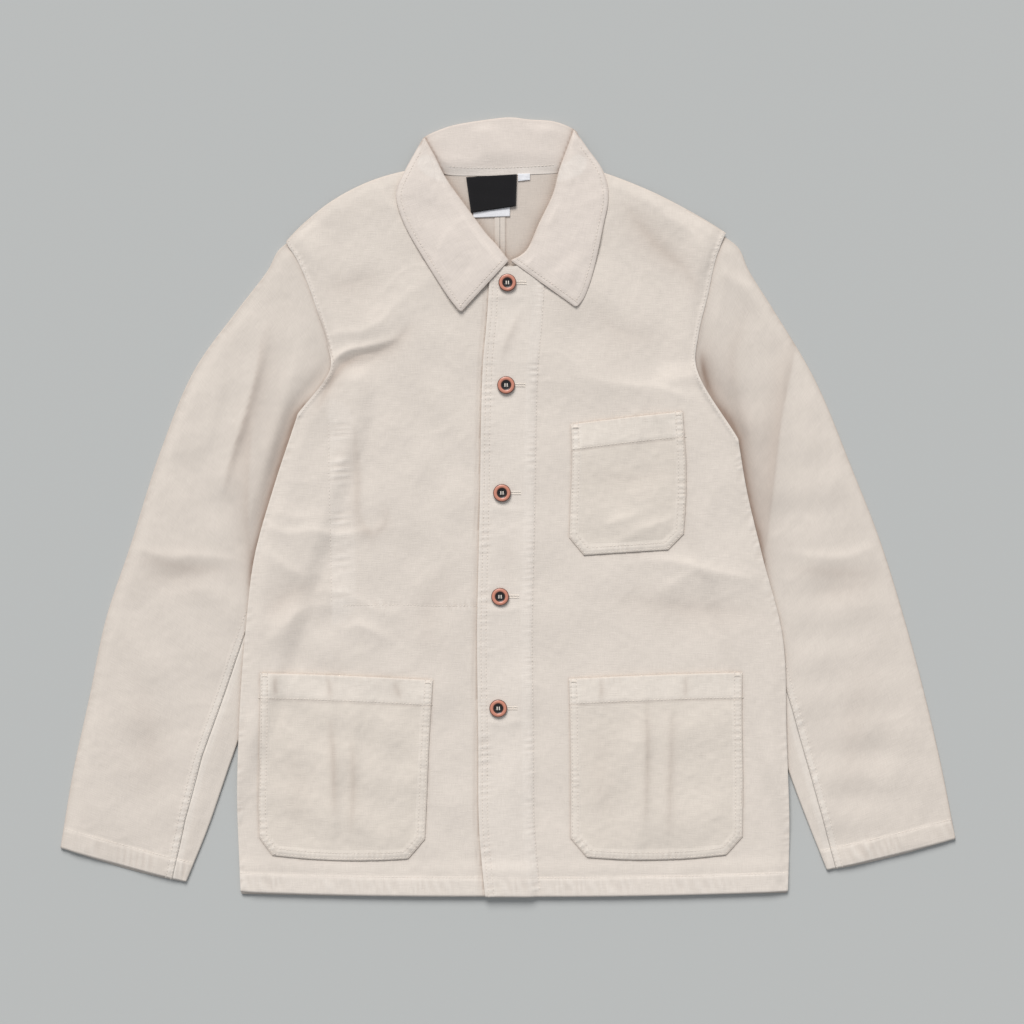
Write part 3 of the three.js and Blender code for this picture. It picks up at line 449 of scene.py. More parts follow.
@dataclass
class ClothMesh:
    """Collects closed thin walls of cloth, and makes one mesh object of them."""

    name: str
    slot: str
    material: bpy.types.Material
    points: list[Array] = field(default_factory=list)
    weave: list[Array] = field(default_factory=list)
    wear_and_highlight: list[Array] = field(default_factory=list)
    painted_shade: list[Array] = field(default_factory=list)
    faces: list[list[int]] = field(default_factory=list)
    count: int = 0

    def wall(self, right: Array, wrong: Array, weave: Array, wear_and_highlight: Array, painted_shade: Array) -> None:
        """Adds one closed wall.

        Args:
            right: Points of the cloth's right side in millimetres, odd counts of rows and columns.
            wrong: Points of its wrong side, of which every second row and column is used.
            weave: Place of each point on the flat cloth, in millimetres.
            wear_and_highlight: How pale and worn the cloth is at each point, from 0 to 1, with painted highlights on
                the ripples of seams.
            painted_shade: How much painted shade darkens each point, in creases, troughs, stitched grooves and beside
                edges, from 0 to 1.
        """
        back = wrong[::2, ::2]
        rows, columns = right.shape[:2]
        front_ids = self.count + np.arange(rows * columns).reshape(rows, columns)
        back_rows, back_columns = back.shape[:2]
        back_ids = self.count + rows * columns + np.arange(back_rows * back_columns).reshape(back_rows, back_columns)
        made = [*quads(front_ids), *quads(back_ids.T)]
        for fine, coarse in (
            (front_ids[0, ::-1], back_ids[0, ::-1]),
            (front_ids[:, -1][::-1], back_ids[:, -1][::-1]),
            (front_ids[-1], back_ids[-1]),
            (front_ids[:, 0], back_ids[:, 0]),
        ):
            made += border(fine, coarse)
        a, b, c = right[:-1, :-1], right[1:, :-1], right[:-1, 1:]
        if float(np.cross(b - a, c - a)[..., 2].sum()) > 0:
            made = [face[::-1] for face in made]
        self.faces += made
        self.points += [right.reshape(-1, 3), back.reshape(-1, 3)]
        for kept, values, width in ((self.weave, weave, 2), (self.wear_and_highlight, wear_and_highlight, 1), (self.painted_shade, painted_shade, 1)):
            kept += [values.reshape(-1, width), values[::2, ::2].reshape(-1, width)]
        self.count += rows * columns + back_rows * back_columns

    def build(self) -> bpy.types.Object:
        """Makes the object, with its finish, weave map, wear with painted highlights and painted shade, and puts it on
        the jacket.
        """
        mesh = bpy.data.meshes.new(self.name)
        mesh.from_pydata((np.vstack(self.points) * MM).tolist(), [], self.faces)
        corners = np.empty(len(mesh.loops), np.int32)
        mesh.loops.foreach_get("vertex_index", corners)
        layer = mesh.uv_layers.new(name="weave")
        layer.data.foreach_set("uv", (np.vstack(self.weave)[corners] * MM).astype(np.float32).ravel())
        for name, values in (("wear_and_highlight", self.wear_and_highlight), ("painted_shade", self.painted_shade)):
            attribute = mesh.attributes.new(name, "FLOAT", "POINT")
            attribute.data.foreach_set("value", np.vstack(values).astype(np.float32).ravel())
        return dress(self.name, mesh, self.material)


def quads(ids: Array) -> list[list[int]]:
    """Faces between neighbouring rows and columns of a grid of vertex numbers."""
    corners = (ids[:-1, :-1], ids[:-1, 1:], ids[1:, 1:], ids[1:, :-1])
    return np.stack([c.ravel() for c in corners], axis=1).tolist()


def border(fine: Array, coarse: Array) -> list[list[int]]:
    """Faces between a line of vertices and one with half as many steps."""
    a, b, c = fine[:-1:2], fine[1::2], fine[2::2]
    d, e = coarse[:-1], coarse[1:]
    return np.concatenate([np.stack(t, axis=1) for t in ((a, b, d), (b, e, d), (b, c, e))]).tolist()


def dress(name: str, mesh: bpy.types.Mesh, material: bpy.types.Material) -> bpy.types.Object:
    """Makes an object of a mesh, with its finish, and lets it ride on the jacket.

    Args:
        name: The object's name.
        mesh: Its mesh, in the jacket's frame.
        material: Its finish.

    Returns:
        The new object.
    """
    mesh.materials.clear()
    mesh.materials.append(material)
    mesh.shade_smooth()
    made = bpy.data.objects.new(name, mesh)
    bpy.context.scene.collection.objects.link(made)
    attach(made, "root")
    triangles = sum(p.loop_total - 2 for p in mesh.polygons)
    log.info("%s: %d triangles", name, triangles)
    return made


class NodeBench:
    """Puts nodes on a tree, with their inputs set or linked in one call."""

    def __init__(self, tree: bpy.types.NodeTree) -> None:
        """Works on ``tree``."""
        self.tree = tree

    def add(self, kind: str, inputs: dict | None = None, **settings: object) -> bpy.types.Node:
        """Adds a node.

        Args:
            kind: Blender's name of the node's type.
            inputs: Values or output sockets, by the input's name or number.
            settings: The node's own settings.

        Returns:
            The node.
        """
        node = self.tree.nodes.new(kind)
        for name, value in settings.items():
            setattr(node, name, value)
        for key, value in (inputs or {}).items():
            if isinstance(value, bpy.types.NodeSocket):
                self.tree.links.new(value, node.inputs[key])
            else:
                node.inputs[key].default_value = value
        return node

    def math(self, operation: str, *values: object) -> bpy.types.NodeSocket:
        """Output of a Math node on the given values or sockets."""
        return self.add("ShaderNodeMath", dict(enumerate(values)), operation=operation).outputs[0]

    def blend(self, share: object, a: object, b: object) -> bpy.types.NodeSocket:
        """Colour between ``a`` and ``b``."""
        node = self.add("ShaderNodeMix", {0: share, 6: a, 7: b}, data_type="RGBA")
        return node.outputs[2]


def colour(red: float, green: float, blue: float) -> tuple[float, float, float, float]:
    """A colour as the renderer wants it, from its screen values of 0 to 255."""
    linear = [
        c / 12.92 if c <= 0.04045 else ((c + 0.055) / 1.055) ** 2.4 for c in (red / 255, green / 255, blue / 255)
    ]
    return (*linear, 1.0)


@dataclass(frozen=True)
class Cotton:
    """Washed cotton canvas: weave, slubs, cloudy colour, pale worn edges, painted highlights on the ripples of seams,
    and painted shade in creases, troughs and beside edges.
    """

    name: str
    base: tuple[float, float, float]
    # colour of worn cloth, and also of the painted highlights on seam ripples
    worn: tuple[float, float, float]
    # colour of the painted shade
    crease: tuple[float, float, float]
    thread: float = 0.75
    relief: float = 0.35
    cloud: float = 0.05

    def material(self) -> bpy.types.Material:
        """Builds the finish as nodes on the piece's own weave map."""
        made = bpy.data.materials.new(self.name)
        made.use_nodes = True
        made.node_tree.nodes.clear()
        bench = NodeBench(made.node_tree)
        weave = bench.add("ShaderNodeUVMap", uv_map="weave").outputs["UV"]
        axes = bench.add("ShaderNodeSeparateXYZ", {0: weave})
        turns = math.tau / (self.thread * MM)
        across = bench.math("SINE", bench.math("MULTIPLY", axes.outputs[0], turns))
        down = bench.math("SINE", bench.math("MULTIPLY", axes.outputs[1], turns))
        threads = bench.math("MULTIPLY", across, down)
        slubs = [
            bench.add(
                "ShaderNodeTexNoise",
                {
                    "Vector": bench.add("ShaderNodeMapping", {"Vector": weave, "Scale": scale}).outputs[0],
                    "Scale": 1.0,
                    "Detail": 2.0,
                },
            ).outputs["Fac"]
            for scale in ((90.0, 1100.0, 1.0), (1100.0, 90.0, 1.0))
        ]
        slub = bench.math("SUBTRACT", bench.math("ADD", *slubs), 1.0)
        clouds = bench.add("ShaderNodeTexNoise", {"Vector": weave, "Scale": 13.0, "Detail": 3.0}).outputs["Fac"]
        tone = bench.math("MULTIPLY", bench.math("SUBTRACT", clouds, 0.5), self.cloud * 2)
        grain = bench.math("MULTIPLY", slub, 0.14)
        bright = bench.math("ADD", 1.0, bench.math("ADD", tone, grain))
        wear_and_highlight = bench.add("ShaderNodeAttribute", attribute_name="wear_and_highlight").outputs["Fac"]
        painted_shade = bench.add("ShaderNodeAttribute", attribute_name="painted_shade").outputs["Fac"]
        speckle = bench.add("ShaderNodeTexNoise", {"Vector": weave, "Scale": 260.0, "Detail": 1.0}).outputs["Fac"]
        worn = bench.math("MULTIPLY", wear_and_highlight, bench.math("ADD", 0.45, speckle))
        # pale where worn and where highlights are painted, darker where shade is painted
        plain = bench.blend(worn, colour(*self.base), colour(*self.worn))
        with_painted_shade = bench.blend(painted_shade, plain, colour(*self.crease))
        toned = bench.add("ShaderNodeVectorMath", {0: with_painted_shade, 1: bright}, operation="MULTIPLY").outputs[0]
        fibres = bench.math("ADD", bench.math("MULTIPLY", threads, 0.25), bench.math("MULTIPLY", slub, 1.6))
        bump = bench.add("ShaderNodeBump", {"Height": fibres, "Strength": self.relief, "Distance": 0.0003})
        cloth = bench.add(
            "ShaderNodeBsdfPrincipled",
            {
                "Base Color": toned,
                "Roughness": 0.92,
                "Specular IOR Level": 0.2,
                "Sheen Weight": 0.18,
                "Sheen Roughness": 0.5,
                "Normal": bump.outputs[0],
            },
        )
        bench.add("ShaderNodeOutputMaterial", {0: cloth.outputs[0]})
        return made


@dataclass(frozen=True)
class Horn:
    """Turned button material in rings of colour, from the button's middle to its rim."""

    name: str
    dish: tuple[float, float, float]
    rim: tuple[float, float, float]
    edge: tuple[float, float, float]

    def material(self) -> bpy.types.Material:
        """Builds the finish from the ``ring`` attribute, which is 0 in the middle and 1 at the rim."""
        made = bpy.data.materials.new(self.name)
        made.use_nodes = True
        made.node_tree.nodes.clear()
        bench = NodeBench(made.node_tree)
        place = bench.add("ShaderNodeTexCoord").outputs["Object"]
        noise = bench.add("ShaderNodeTexNoise", {"Vector": place, "Scale": 420.0, "Detail": 3.0}).outputs["Fac"]
        ring = bench.add("ShaderNodeAttribute", attribute_name="ring").outputs["Fac"]
        rough_ring = bench.math("ADD", ring, bench.math("MULTIPLY", bench.math("SUBTRACT", noise, 0.5), 0.05))
        ramp = bench.add("ShaderNodeValToRGB", {0: rough_ring})
        stops = ramp.color_ramp.elements
        stops[0].position, stops[0].color = 0.5, colour(*self.dish)
        stops[1].position, stops[1].color = 1.0, colour(*self.edge)
        for position, tint in ((0.56, self.edge), (0.62, self.rim), (0.88, self.rim), (0.95, self.edge)):
            stops.new(position).color = colour(*tint)
        horn = bench.add(
            "ShaderNodeBsdfPrincipled",
            {"Base Color": ramp.outputs[0], "Roughness": 0.38, "Coat Weight": 0.25, "Coat Roughness": 0.25},
        )
        bench.add("ShaderNodeOutputMaterial", {0: horn.outputs[0]})
        return made


def sleeve_lift(xy: Array) -> Array:
    """How far the body climbs where a sleeve's inner edge lies under it."""
    x, y = xy[..., 0], xy[..., 1]
    edge = np.where(
        x < 0,
        np.interp(y, SLEEVE_EDGE[:, 0], SLEEVE_EDGE[:, 1]),
        np.interp(y, SLEEVE_EDGE[:, 0], SLEEVE_EDGE[:, 2]),
    )
    over = smooth((np.abs(x) - edge + SLEEVE_LIFT_SLOPE + SLEEVE_LIFT_MARGIN) / SLEEVE_LIFT_SLOPE)
    return SLEEVE_LIFT * over * smooth((148 - y) / 24)


def above_underarm(xy: Array) -> Array:
    """1 where front and sleeve are sewn edge to edge, 0 where the body lies free on the sleeve."""
    return smooth((xy[..., 1] - 118) / 34)


def seam_marks(*lines: float, end: float, step: float = 2.2, fine: float = 1.0) -> list[float]:
    """Rising distances from an edge, close together at the edge and at lines of stitching.

    Args:
        lines: Distances of the lines.
        end: The last distance.
        step: Step between the lines.
        fine: Step near them.

    Returns:
        The distances, from 0.
    """
    marks, at = [0.0, 0.5], 1.1
    while at < end:
        marks.append(at)
        at += fine if any(abs(at - line) < 2.4 for line in (0.0, *lines)) else step
    return marks


def paint_ripple_light(ripples: Array, wear_and_highlight: Array, painted_shade: Array) -> tuple[Array, Array]:
    """Wear and painted shade with painted light from the ripples: painted highlights on their ridges, painted shade in
    their hollows.
    """
    return np.clip(wear_and_highlight + 1.3 * np.maximum(ripples, 0), 0, 1), painted_shade + 0.45 * np.maximum(-ripples, 0)


class FrontRelief:
    """Heights of one front above the floor, at any point."""

    def __init__(
        self, panel: Panel, folds: Sequence[Fold], over: bool, seed: int, inner_pocket: Sequence = ()
    ) -> None:
        """Takes the panel's edges, its folds, whether it lies over the other front, and a pocket sewn inside it."""
        self.panel, self.folds, self.over = panel, folds, over
        out, into = panel.corners(Turn.OUTER)[0], panel.corners(Turn.INNER)[0]
        self.side = panel.edge(Turn.OUTER, 0, out)
        self.armhole = panel.edge(Turn.OUTER, out, panel.last)
        self.edge = panel.edge(Turn.INNER, 0, into)
        self.neck = panel.edge(Turn.INNER, into, panel.last)
        self.shoulder = panel.section(panel.last)
        self.hem = panel.section(0)
        self.drift = Waves(seed, 40, 120)
        self.ripple = Waves(seed + 1, 9, 22)
        self.crumple = Crumple(seed + 2, 42)
        inward = 1.0 if panel.rows[0].outer_x > 0 else -1.0
        self.lines: list[Path] = [
            self.hem.moved(HEM_WIDTH * inward),
            self.armhole.moved(2.6 * inward),
        ]
        self.puckers = [
            Puckers(self.hem, 0.26, 8.5, 8, HEM_WIDTH * 0.5 * inward, 0.3, seed=seed + 3),
            Puckers(self.armhole, 0.1, 8, 3, 3 * inward, seed=seed + 4),
            Puckers(self.side, 0.22, 9, 4, 2 * inward, seed=seed + 5),
        ]
        self.inner_pocket = [Path(line, curved=True) for line in inner_pocket]
        self.lines += self.inner_pocket
        self.puckers += [
            Puckers(line, 0.3, 10.0, 9.5, 11.0, 0.12, seed + 10) for line in self.inner_pocket[:1]
        ]
        self.puckers += [Puckers(line, 0.25, 8.0, 5.0, seed=seed + 11) for line in self.inner_pocket[1:]]
        if over:
            self.lines += [self.edge.moved(-4.0), self.edge.moved(-9.0), self.edge.moved(-PLACKET_WIDTH)]
            self.puckers += [
                Puckers(self.edge, 0.26, 6.2, 6, -6.5, 0.1, seed + 6),
                Puckers(self.edge, 0.24, 6.6, 5, -PLACKET_WIDTH + 3, 0.1, seed + 8),
            ]

    def floor(self, xy: Array) -> Array:
        """Height of the wrong side."""
        outer = np.minimum(self.side.away(xy, 60), self.armhole.away(xy, 60))
        hem = self.hem.away(xy, 60)
        air = AIR * smooth(outer / AIR_REACH) * smooth((self.shoulder.away(xy, 30) + 4) / AIR_REACH)
        step = HEM_RAISE * (1 - smooth((hem - HEM_WIDTH - 6) / 14))
        lap = smooth((xy[..., 1] - 116) / 28)
        armhole = ARMHOLE_LIFT * lap * (1 - smooth((outer - FELL_WIDTH - 2) / ARMHOLE_SLOPE))
        under = 1 - smooth((xy[..., 0] - UNDERLAP_X) / UNDERLAP_SLOPE) if self.over else 0.0
        calm = smooth(outer / 10) * smooth((hem - 4) / 22)
        soft = folds_at(self.folds, xy, False) + 0.34 * self.drift.at(xy) + 0.3 * self.crumple.at(xy)
        edges = folds_at(self.folds, xy, True)
        base = CLOTH + LAYER_GAP + sleeve_lift(xy) + air + step + armhole
        return base + under * (UNDERLAP_LIFT + step) + np.maximum(calm * soft + edges, -air)

    def bands(self, xy: Array) -> Array:
        """Height of the hem, the buttonhole band and the felled seam over the plain cloth."""
        hem = HEM_RAISE * smooth((HEM_WIDTH - self.hem.away(xy, 60)) / 1.4 + 0.5)
        fell = FELL_RAISE * smooth((ARMHOLE_FELL - self.armhole.away(xy, 20)) / 1.8 + 0.5)
        band = PLACKET_RAISE * smooth((PLACKET_WIDTH - self.edge.away(xy, 70)) / 1.4 + 0.5) if self.over else 0.0
        return np.maximum(np.maximum(hem, fell), band)

    def stitched(self, xy: Array) -> Array:
        """How near each point is to a line of stitching, from 0 to 1."""
        return np.maximum.reduce([groove(line, xy) for line in self.lines])

    def ripples(self, xy: Array) -> Array:
        """Height of the ripples along the seams."""
        return sum(puckers.at(xy) for puckers in self.puckers)

    def top(self, xy: Array) -> Array:
        """Height of the right side."""
        height = self.floor(xy) + CLOTH + self.bands(xy) + 0.05 * self.ripple.at(xy)
        height += self.ripples(xy) - STITCH_DEPTH * self.stitched(xy)
        for end in (self.side, self.hem, self.edge):
            height -= rounding(end.away(xy, 4), 0.9) * 0.5
        height -= rounding(self.shoulder.away(xy, 6), 3.0) * 0.2
        return height - rounding(self.armhole.away(xy, 4), 1.6) * 0.3

    def wrong(self, xy: Array) -> Array:
        """Height of the wrong side, where the cloth thins to the armhole seam."""
        return self.floor(xy) + ARMHOLE_THIN * above_underarm(xy) * (1 - smooth(self.armhole.away(xy, 4) / 3))


class Front:
    """One front of the body."""

    def __init__(
        self, relief: FrontRelief, name: str, strokes: Sequence[Fold], lapped: Path | None = None
    ) -> None:
        """Takes the front's heights, its name, its strokes of painted shade, and the edge of a front that laps over it,
        beside which shadow is painted.
        """
        self.relief, self.name, self.strokes, self.lapped = relief, name, strokes, lapped

    def build(
        self, material: bpy.types.Material, rests_on: Sequence[str], patches: Sequence[PatchPocket]
    ) -> bpy.types.Object:
        """Makes the front's cloth.

        Args:
            material: Its finish.
            rests_on: Not used.
            patches: The pockets that are sewn to it, around whose edges shadow is painted.

        Returns:
            The front.
        """
        relief, panel = self.relief, self.relief.panel
        lines = (4.0, 9.0, PLACKET_WIDTH) if relief.over else ()
        inner = seam_marks(*lines, end=PLACKET_WIDTH + 3 if relief.over else 4)
        outer = seam_marks(1.8, 7.0, end=10)[::-1]
        xy = panel.grid(panel.sections(2.1), inner, outer, 2.3)
        right = np.dstack([xy, relief.top(xy)])
        wrong = np.dstack([xy, relief.wrong(xy)])
        stitched = relief.stitched(xy)
        edges = np.maximum.reduce(
            [np.exp(-line.away(xy, 12) / 2.2) for line in (relief.edge, relief.side, relief.hem, relief.armhole)]
        )
        bands = smooth(relief.bands(xy) / 0.4)
        faded = sum(
            smooth((PLACKET_INNER - line.away(xy, 60)) / 3) * (line.nearest(xy, 60)[2] > 0)
            for line in relief.inner_pocket[:1]
        )
        wear_and_highlight = np.clip(0.15 * edges + 0.3 * bands + 0.3 * stitched + 0.3 * faded, 0, 1)
        # painted shade along the stitched grooves
        painted_shade = 0.08 * stitched
        band = (relief.edge.away(xy, 70) > PLACKET_WIDTH - 11) & (relief.edge.away(xy, 70) < PLACKET_WIDTH)
        if relief.over:
            wear_and_highlight = np.clip(wear_and_highlight + 0.25 * band, 0, 1)
        # painted shade in the troughs, along the strokes and along the shoulder edge
        painted_shade += hollows_at(relief.folds, self.strokes, xy) + 0.3 * np.exp(-relief.shoulder.away(xy, 12) / 1.6)
        # painted shadow around each pocket's sides and opening
        for patch in patches:
            painted_shade += 0.2 * np.exp(-np.minimum(patch.sides.away(xy, 12), patch.opening.away(xy, 12)) / 1.2)
        # painted shadow beside the lapping front's edge, with a fainter line 4.5 mm from it
        if self.lapped is not None:
            beside = self.lapped.away(xy, 20)
            painted_shade += 0.55 * np.exp(-beside / 1.4) + 0.16 * np.exp(-(((beside - 4.5) / 1.0) ** 2))
        # painted highlights on the ripples' ridges, painted shade in their hollows
        wear_and_highlight, painted_shade = paint_ripple_light(relief.ripples(xy), wear_and_highlight, painted_shade)
        cloth = ClothMesh(self.name, "body_cotton", material)
        cloth.wall(right, wrong, xy, wear_and_highlight, painted_shade)
        made = cloth.build()
        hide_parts(self.name.removesuffix("_cloth"))
        width = float(panel.width(np.arange(panel.last + 1.0)).max())
        panel.area()
        return made


class Back:
    """One half of the back, which lies on the floor and climbs onto the sleeve's inner edge."""

    def __init__(self, rows: Sequence[Row], name: str, seed: int, rolls: Sequence[Path]) -> None:
        """Takes the sections, the name and the edges of the collar, beside which shade is painted on the half."""
        self.panel, self.name, self.rolls = Panel(rows), name, rolls
        self.centre = self.panel.edge(Turn.INNER, 0, self.panel.corners(Turn.INNER)[0])
        self.hem = self.panel.section(0)
        self.drift = Waves(seed, 35, 120)

    def floor(self, xy: Array) -> Array:
        """Height of the side that rests."""
        calm = smooth(self.centre.away(xy, 20) / 14)
        return sleeve_lift(xy) + 0.35 * calm * np.maximum(self.drift.at(xy), 0)

    def top(self, xy: Array) -> Array:
        """Height of the side that faces up, inside the jacket."""
        centre = self.centre.away(xy, 30)
        fell = FELL_RAISE * smooth((BACK_SEAM_WIDTH - centre) / 1.2 + 0.5)
        hem = HEM_RAISE * smooth((HEM_WIDTH - self.hem.away(xy, 40)) / 1.4 + 0.5)
        dip = 0.2 * np.exp(-(((centre - BACK_SEAM_WIDTH - 0.6) / 0.9) ** 2))
        return self.floor(xy) + CLOTH + np.maximum(fell, hem) - dip

    def build(self, material: bpy.types.Material) -> bpy.types.Object:
        """Makes the half's cloth."""
        inner = [SEAM_GAP / 2, 0.9, 2, 3.2, 4.4, 5.2, 6.0, 6.8, 8, 10, 13]
        xy = self.panel.grid(self.panel.sections(4.2), inner, [12, 8, 5, 3, 1.5, 0.6, 0], 4.4)
        centre = self.centre.away(xy, 20)
        # painted shade line beside the felled centre-back seam, stronger on one half, with less painted shade on the
        # seam itself
        line = 0.3 if self.panel.rows[0].outer_x > 0 else 0.12
        painted_shade = line * np.exp(-(((centre - BACK_SEAM_WIDTH - 0.3) / 0.8) ** 2)) - 0.16 * (centre < BACK_SEAM_WIDTH)
        # painted shade over the whole inside, darker beside the collar's roll edges
        roll = np.minimum.reduce([line.away(xy, 50) for line in self.rolls])
        painted_shade = np.clip(painted_shade + 0.22 + 0.4 * np.exp(-roll / 4) + 0.12 * np.exp(-roll / 14), 0, 1)
        cloth = ClothMesh(self.name, "body_cotton", material)
        top, floor = np.dstack([xy, self.top(xy)]), np.dstack([xy, self.floor(xy)])
        cloth.wall(top, floor, xy, np.zeros_like(centre), painted_shade)
        made = cloth.build()
        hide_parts(self.name.removesuffix("_cloth"))
        width = float(self.panel.width(np.arange(self.panel.last + 1.0)).max())
        self.panel.area()
        return made


@dataclass(frozen=True)
class Station:
    """Place of a point on a sleeve's section: round an edge, on top or underneath."""

    edge: Turn
    away: float = 0.0
    share: float | None = None
    angle: float | None = None
    under: bool = False


class Sleeve:
    """A sleeve: a flattened tube in two pieces, sewn along the forearm and under the elbow."""

    def __init__(
        self, side: str, rows: Sequence[Row], seams: Sequence[float], folds: Sequence[Fold], strokes: Sequence[Fold],
        front: FrontRelief, seed: int,
    ) -> None:
        """Takes the sections, the seam's distance from the inner edge, the folds and the front that lies over it."""
        self.side, self.panel, self.seams, self.folds, self.strokes = side, Panel(rows), seams, folds, strokes
        self.outward = -1.0 if rows[0].outer_x > 0 else 1.0
        self.body = Path(np.vstack([front.side.points, front.armhole.points[1:]]))
        self.cuff = self.panel.section(0)
        self.inner, self.outer = (self.panel.edge(t, 0, self.panel.last) for t in (Turn.INNER, Turn.OUTER))
        self.drift, self.ripple = Waves(seed, 38, 110), Waves(seed + 1, 9, 22)
        self.crumple = Crumple(seed + 2, 40)
        marks = np.arange(self.panel.last + 1.0)
        share = 1 - np.asarray(seams) / self.panel.width(marks)
        self.seam = Path(spline(self.panel.place(marks, 1 - share[:, None])[:, 0], np.linspace(0, marks[-1], 73)))
        self.fell_side = self.outward
        self.lines = [self.seam.moved(1.5 * self.fell_side), self.seam.moved(6.6 * self.fell_side)]
        self.cuff_line = self.cuff.moved((HEM_WIDTH + 1) * (-self.fell_side))
        self.puckers = [
            Puckers(self.seam, 0.24, 7.0, 5, 4.0 * self.fell_side, 0.2, seed + 3),
            Puckers(self.cuff, 0.34, 8.0, 9, -10 * self.fell_side, 0.2, seed + 4),
            Puckers(self.outer, 0.14, 10.0, 5, 0.0, 0.2, seed + 5),
        ]

    def outside(self, xy: Array) -> Array:
        """Distance outside the body's edge, below zero under the body."""
        away, _, side = self.body.nearest(xy, 240)
        return away * side * self.outward

    def top(self, xy: Array) -> Array:
        """Height of the upper layer's right side, away from the rounded edges."""
        out = self.outside(xy)
        soft = folds_at(self.folds, xy, False) + 0.36 * self.drift.at(xy) + 0.3 * self.crumple.at(xy)
        puff = 0.4 * smooth(out / 3) + (SLEEVE_PUFF - 0.4) * smooth((out - 6) / 34)
        height = SLEEVE_HEIGHT + puff + smooth((out - 2) / 14) * soft + folds_at(self.folds, xy, True) * smooth(out / 4)
        join = ARMHOLE_JOIN * above_underarm(xy) * smooth((out + 2) / 1.7) * (1 - smooth((out - 3) / 24))
        return np.maximum(height, SLEEVE_HEIGHT - 0.7 * smooth(out / 4)) + join

    def ripples(self, xy: Array) -> Array:
        """Height of the ripples along the seams."""
        return sum(puckers.at(xy) for puckers in self.puckers)

    def dressed(self, xy: Array, fell: bool) -> Array:
        """Height of the upper layer with its rounded edges, seams and ripples."""
        near = np.minimum(self.inner.away(xy, 20), self.outer.away(xy, 20))
        out = self.outside(xy)
        rise = mix(SLEEVE_HEIGHT, self.top(xy), smooth((near - 1.5) / 13))
        away, _, side = self.seam.nearest(xy, 20)
        off = away * side * self.fell_side
        band = FELL_RAISE * smooth((FELL_WIDTH - off) / 1.4 + 0.5) * (off > 0) if fell else 0.0
        hem = HEM_RAISE * smooth((HEM_WIDTH + 1 - self.cuff.away(xy, 60)) / 1.4 + 0.5)
        free = smooth((out - 4) / 10)
        ripples = self.ripples(xy) + 0.05 * self.ripple.at(xy)
        closed = 0.9 * np.exp(-self.cuff.away(xy, 30) / 7) * smooth(near / 8)
        return rise - closed + free * (np.maximum(band, hem) + ripples) - STITCH_DEPTH * self.stitched(xy) * free

    def stitched(self, xy: Array) -> Array:
        """How near each point is to a line of stitching, from 0 to 1."""
        return np.maximum.reduce([groove(line, xy) for line in (*self.lines, self.cuff_line)])

    def shape(self, sections: Array, stations: Sequence[Station], fell: bool) -> tuple[Array, Array, Array]:
        """Points of one of the two pieces.

        Args:
            sections: Section numbers.
            stations: Places on each section.
            fell: Whether the piece carries the felled seam.

        Returns:
            The right side, the wrong side, and the place of each point on the flat cloth.
        """
        width = self.panel.width(sections)
        seam = np.interp(sections, np.arange(self.panel.last + 1), self.seams)
        radius = SLEEVE_HEIGHT / 2
        right, wrong = (np.zeros((len(sections), len(stations), 3)) for _ in range(2))
        centre = self.panel.place(sections, np.full((len(sections), 1), 0.5))[:, 0]
        spill = centre[0] - centre[4]
        spill *= CUFF_PEEP / np.linalg.norm(spill)
        girth = np.zeros((len(sections), len(stations)))
        for j, s in enumerate(stations):
            if s.angle is not None:
                away = radius * (1 - math.cos(s.angle))
                away_wrong = radius - (radius - CLOTH) * math.cos(s.angle)
            elif s.share is not None:
                start, stop = (11.8, width - seam - 11) if s.edge is Turn.OUTER else (seam - SEAM_GAP / 2, radius)
                away = away_wrong = start + (stop - start) * s.share
            else:
                away = s.away if s.away >= 0 else width - seam + s.away
                away = away if s.edge is Turn.OUTER or not s.under else s.away
                away_wrong = away
            flip = s.edge is Turn.OUTER
            for kept, distance in ((right, away), (wrong, away_wrong)):
                t = distance / width * np.ones_like(width)
                kept[:, j, :2] = self.panel.place(sections, (1 - t if flip else t)[:, None])[:, 0]
            if s.angle is not None:
                right[:, j, 2] = radius * (1 + math.sin(s.angle))
                wrong[:, j, 2] = radius + (radius - CLOTH) * math.sin(s.angle)
            elif s.under:
                wrong[:, j, 2] = CLOTH
            low = s.under or (s.angle is not None and s.angle < 0)
            if low:
                inside = away / width if s.edge is Turn.INNER else 1 - away / width
                fade = (1 - smooth(sections / 0.3)) * np.sin(math.pi * np.clip(inside, 0, 1) ** 0.7) ** 0.8
                for kept in (right, wrong):
                    kept[:, j, :2] += spill * (fade * np.ones_like(width))[:, None]
        tops = [j for j, s in enumerate(stations) if not s.under and s.angle is None]
        high = self.dressed(right[:, tops, :2], fell)
        right[:, tops, 2], wrong[:, tops, 2] = high, high - CLOTH
        nose = [j for j, s in enumerate(stations) if s.angle is not None and s.angle > 0]
        lift = self.dressed(right[:, nose, :2], fell) - SLEEVE_HEIGHT
        right[:, nose, 2] += np.maximum(lift, -0.6) * 0.5
        steps = np.linalg.norm(np.diff(right, axis=1), axis=2)
        girth[:, 1:] = np.cumsum(steps, axis=1)
        along = np.concatenate([[0.0], np.cumsum(np.linalg.norm(np.diff(centre, axis=0), axis=1))])
        weave = np.dstack([girth, np.broadcast_to(along[:, None], girth.shape)])
        return right, wrong, weave

